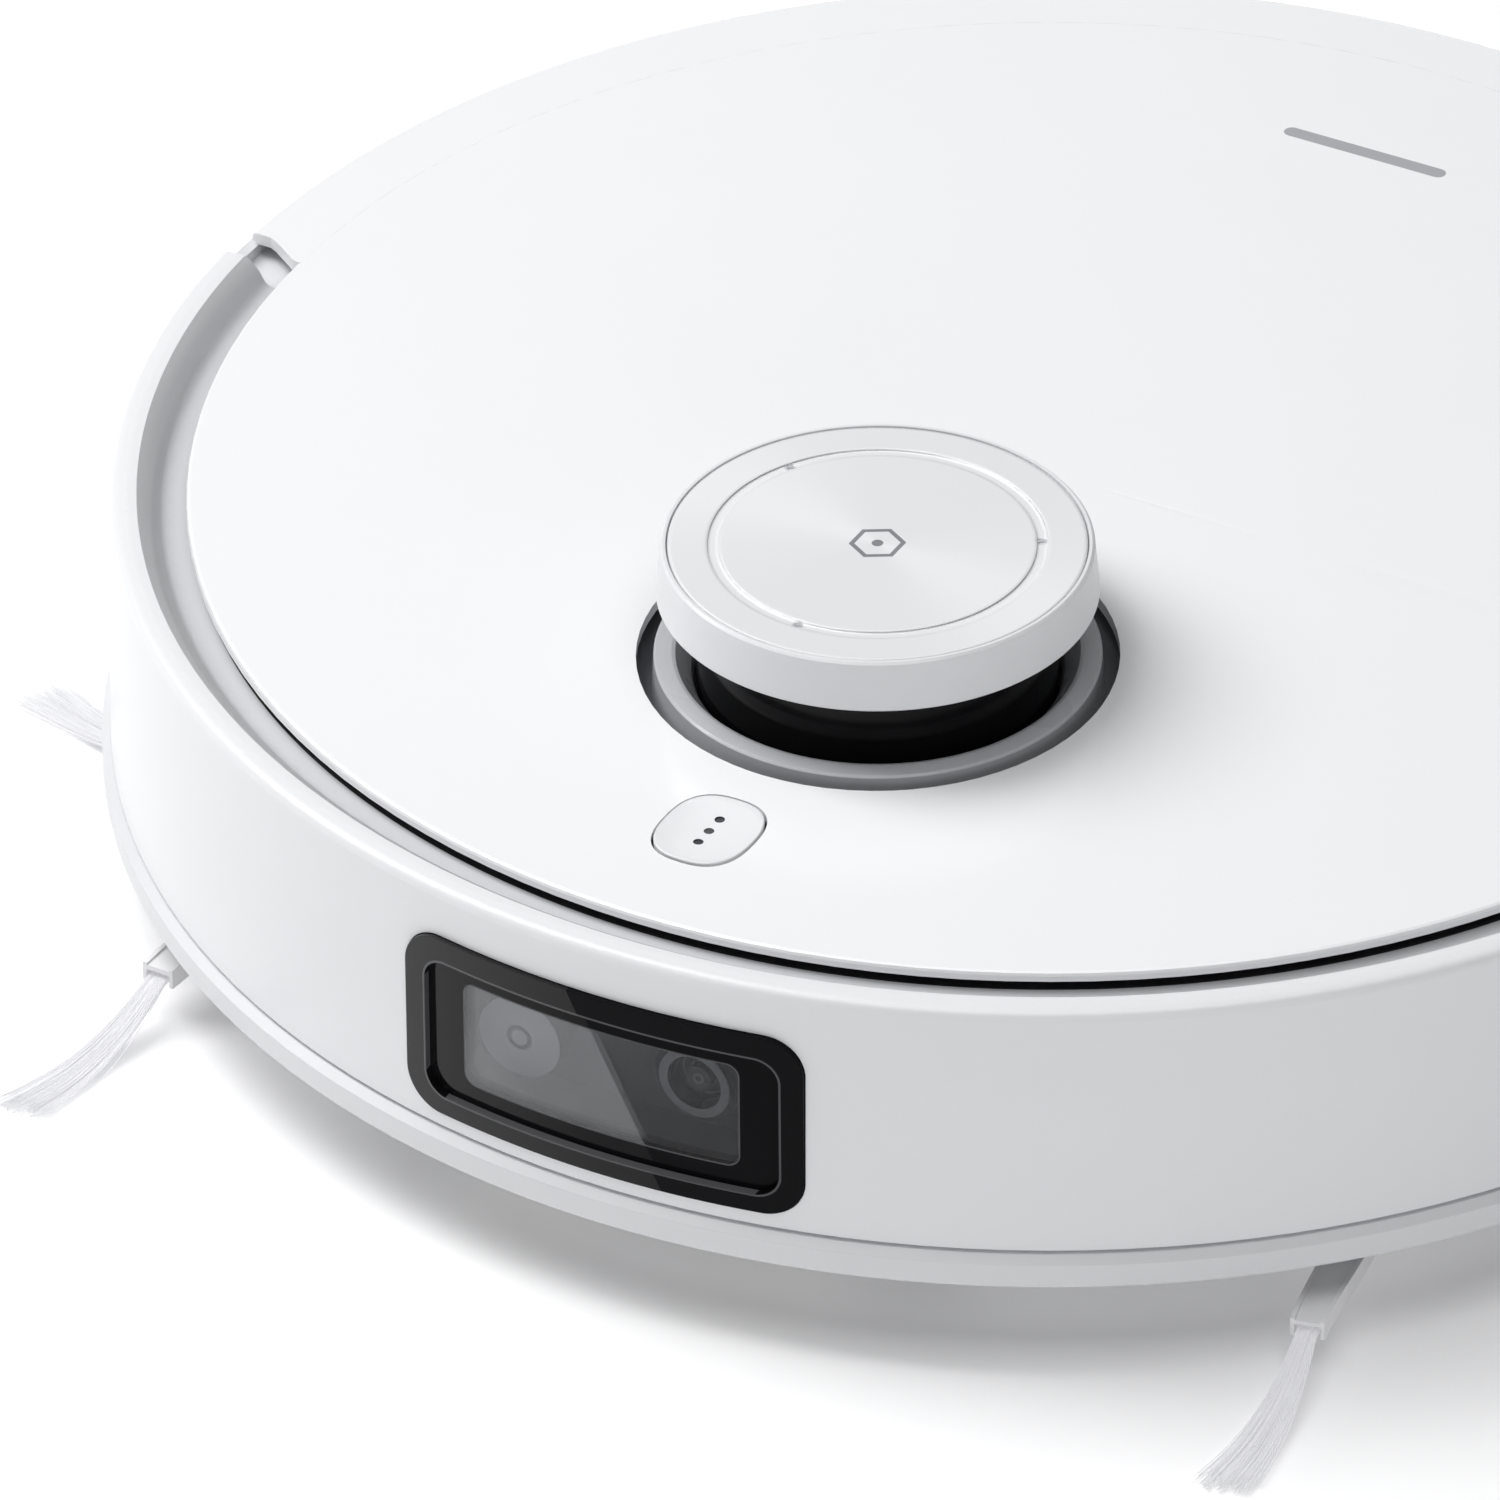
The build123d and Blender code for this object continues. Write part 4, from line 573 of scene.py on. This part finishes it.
def rubber_blade(bm, angle):
    """A chevron blade, thick at its foot and curled back at its tip."""
    rows = []
    for i in range(BLADE_STEPS + 1):
        along = -1 + 2 * i / BLADE_STEPS
        rows.append([bm.verts.new(roller_point(along, r, angle + w * MM / r)) for r, w in BLADE])
    count = len(BLADE)
    for a, b in zip(rows, rows[1:]):
        for k in range(count):
            bm.faces.new((a[k], b[k], b[(k + 1) % count], a[(k + 1) % count]))
    bm.faces.new(rows[0])
    bm.faces.new(list(reversed(rows[-1])))


def bristle_row(bm, angle):
    """Strands set in the core along a chevron line, a few to each hole."""
    for i in range(ROW_HOLES):
        along = -ROW_REACH + 2 * ROW_REACH * i / (ROW_HOLES - 1)
        for _ in range(ROW_STRANDS):
            tip = ROLLER_R - random.uniform(0.0, 1.2) * MM
            lean = random.uniform(-0.05, 0.05)
            slide = random.uniform(-0.012, 0.012)
            path = [roller_point(along + slide * t, CORE_R - 0.4 * MM + (tip - CORE_R) * t, angle + lean * t)
                    for t in (0.0, 0.35, 0.7, 1.0)]
            tube(bm, path, 0.14 * MM, 4, 0.7)


bm = bmesh.new()
for k in range(BLADES):
    rubber_blade(bm, 2 * math.pi * k / BLADES)
blades = mesh_object("roller_blades", bm, fin_grey)
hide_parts("main_brush_fins")
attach(blades, "roller_brush")
bm = bmesh.new()
for k in range(BLADES):
    bristle_row(bm, 2 * math.pi * (k + 0.5) / BLADES)
rows = mesh_object("roller_bristles", bm, bristle_dark)
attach(rows, "roller_brush")


# ------------------------------------------------------------------ pleated filter
FOLDS, FOLD_IN, FOLD_OUT, FILTER_GAP = 16, 2.2 * MM, 0.3 * MM, 0.4 * MM


def pleated_filter():
    """Folded paper sheet, closed at the back, in the filter's own space."""
    lo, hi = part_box("dust_filter")
    ends = (lo.z + FILTER_GAP, hi.z - FILTER_GAP)
    bm = bmesh.new()
    front, rear = [], []
    for i in range(2 * FOLDS + 1):
        x = lo.x + FILTER_GAP + (hi.x - lo.x - 2 * FILTER_GAP) * i / (2 * FOLDS)
        y = lo.y + (FOLD_OUT if i % 2 else FOLD_IN)
        front.append([bm.verts.new((x, y, z)) for z in ends])
        rear.append([bm.verts.new((x, hi.y - FOLD_OUT, z)) for z in ends])
    for (f0, f1), (r0, r1) in zip(zip(front, front[1:]), zip(rear, rear[1:])):
        bm.faces.new((f0[0], f1[0], f1[1], f0[1]))
        bm.faces.new((r0[0], r0[1], r1[1], r1[0]))
        bm.faces.new((f0[1], f1[1], r1[1], r0[1]))
        bm.faces.new((f0[0], r0[0], r1[0], f1[0]))
    bm.faces.new((front[0][0], front[0][1], rear[0][1], rear[0][0]))
    bm.faces.new((front[-1][0], rear[-1][0], rear[-1][1], front[-1][1]))
    return mesh_object("pleated_filter", bm, fabric_cream, smooth=False)


pleats = pleated_filter()
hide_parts("dust_filter")
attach(pleats, "dustbin")


# ------------------------------------------------------------------ wound springs
COIL_STEPS = 16                                # points in each turn
BUMPER_SPRING_X, BUMPER_SPRING_Y, BUMPER_SPRING_Z = 0.090, -0.1450, 0.050
TURRET_Y, TURRET_SPRING_R, TURRET_SPRING_Z = -0.0685, 0.022, 0.0973


def coil(bm, base, axis, length, radius, turns, wire):
    """A round wire wound about an axis, with open ends."""
    side = Vector((0, 0, 1)).cross(axis)
    if side.length < 1e-5:
        side = Vector((1, 0, 0))
    side.normalize()
    up = axis.cross(side)
    steps = int(turns * COIL_STEPS)
    path = []
    for i in range(steps + 1):
        t = i / steps
        a = 2 * math.pi * turns * t
        path.append(base + axis * (length * t) + side * (radius * math.cos(a)) + up * (radius * math.sin(a)))
    tube(bm, path, wire, 6)


bm = bmesh.new()
for x in (-BUMPER_SPRING_X, BUMPER_SPRING_X):
    coil(bm, Vector((x, BUMPER_SPRING_Y, BUMPER_SPRING_Z)), Vector((0, -1, 0)), 0.0048, 0.0024, 4.5, 0.0003)
springs = mesh_object("bumper_coils", bm, steel)
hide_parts("bumper_springs")
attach(springs, "base")
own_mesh(springs)

bm = bmesh.new()
for deg in (30, 150, 270):
    x = TURRET_SPRING_R * math.cos(math.radians(deg))
    y = TURRET_SPRING_R * math.sin(math.radians(deg)) + TURRET_Y
    coil(bm, Vector((x, y, TURRET_SPRING_Z)), Vector((0, 0, 1)), 0.0030, 0.0019, 3.5, 0.00025)
springs = mesh_object("turret_coils", bm, steel)
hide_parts("turret_springs")
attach(springs, "base")
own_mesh(springs)


# ------------------------------------------------------------------ stage, camera, light
scene = bpy.context.scene
FLOOR_GLOW = 0.15              # the floor is lit a little from below, so its shadows stay pale
FLOOR_HALF = 6.0               # m
FLOOR_FAR, FAR_GLOW = (600.0, 3000.0), 0.42    # mm: the far floor fades into the backdrop for the camera
SKY = 0.14                     # light from all round
BACKDROP = 0.80                # the backdrop's brightness, seen by the camera only
bm = bmesh.new()
bmesh.ops.create_grid(bm, x_segments=2, y_segments=2, size=FLOOR_HALF)
floor_graph, floor_shader = surface("studio_floor", (0.93, 0.93, 0.935), 0.55, vary=0.002,
                                    grain_depth=0.02, specular=0.2)
floor_shader.inputs["Emission Color"].default_value = (1, 1, 1, 1)
x, y, _ = floor_graph.axes()
far = floor_graph.ramp(floor_graph.length(x, y), *FLOOR_FAR, 0.0, FAR_GLOW)
seen = floor_graph.node("ShaderNodeLightPath").outputs["Is Camera Ray"]
glow_sum = floor_graph.math("MULTIPLY_ADD", seen, far, FLOOR_GLOW)
floor_graph.link(glow_sum, floor_shader.inputs["Emission Strength"])
seen_below = floor_graph.node("ShaderNodeNewGeometry").outputs["Backfacing"]
see_through = floor_graph.node("ShaderNodeBsdfTransparent")
one_way = floor_graph.node("ShaderNodeMixShader")
floor_graph.link(seen_below, one_way.inputs[0])
floor_graph.link(floor_shader.outputs[0], one_way.inputs[1])
floor_graph.link(see_through.outputs[0], one_way.inputs[2])
floor_graph.link(one_way.outputs[0], floor_graph.out.inputs["Surface"])
floor = mesh_object("studio_floor", bm, floor_graph.mat)

AZ, EL, DIST = math.radians(28.0), math.radians(34.37), 3.8157
ROLL = math.radians(-0.54)
LENS, SENSOR = 477.84, 36.0                    # mm
AIM_RIGHT, AIM_UP = -0.2, 0.0449               # aim off the body's middle, in picture widths
back = Vector((math.sin(AZ) * math.cos(EL), -math.cos(AZ) * math.cos(EL), math.sin(EL)))
right = Vector((math.cos(AZ), math.sin(AZ), 0))
up = back.cross(right)
aim = (right * AIM_RIGHT + up * AIM_UP) * (SENSOR / LENS * DIST)
cam_data = bpy.data.cameras.new("camera")
cam_data.lens = LENS
cam_data.sensor_width = SENSOR
cam_data.clip_end = 50.0
cam = bpy.data.objects.new("camera", cam_data)
scene.collection.objects.link(cam)
cam.location = back * DIST
look = (aim - cam.location).to_track_quat("-Z", "Y")
cam.rotation_mode = "QUATERNION"
cam.rotation_quaternion = look @ Matrix.Rotation(ROLL, 4, "Z").to_quaternion()
scene.camera = cam


MIDDLE = Vector((0, 0, 0.05))   # what every lamp points at


def softbox(name, place, size, power):
    """A soft rectangular lamp the camera doesn't see."""
    data = bpy.data.lights.new(name, "AREA")
    data.shape = "RECTANGLE"
    data.size, data.size_y = size
    data.energy = power
    lamp = bpy.data.objects.new(name, data)
    scene.collection.objects.link(lamp)
    lamp.location = place
    lamp.visible_camera = False
    lamp.rotation_mode = "QUATERNION"
    lamp.rotation_quaternion = (MIDDLE - Vector(place)).to_track_quat("-Z", "Y")


softbox("key_left", (-1.35, -0.17, 1.78), (1.2, 1.9), 43.5)
softbox("top_front", (0.30, -0.60, 2.2), (1.8, 1.4), 16.0)
softbox("front_right", (1.3, -1.5, 0.45), (1.4, 0.8), 4.5)
world = bpy.data.worlds.new("studio")
scene.world = world
world.use_nodes = True
sky = world.node_tree.nodes["Background"]
sky.inputs[0].default_value = (0.97, 0.98, 1.0, 1)
brightness = world.node_tree.nodes.new("ShaderNodeMapRange")
brightness.inputs["To Min"].default_value = SKY
brightness.inputs["To Max"].default_value = BACKDROP
path = world.node_tree.nodes.new("ShaderNodeLightPath")
world.node_tree.links.new(path.outputs["Is Camera Ray"], brightness.inputs["Value"])
world.node_tree.links.new(brightness.outputs[0], sky.inputs[1])
scene.view_settings.view_transform = "Standard"
scene.view_settings.look = "None"
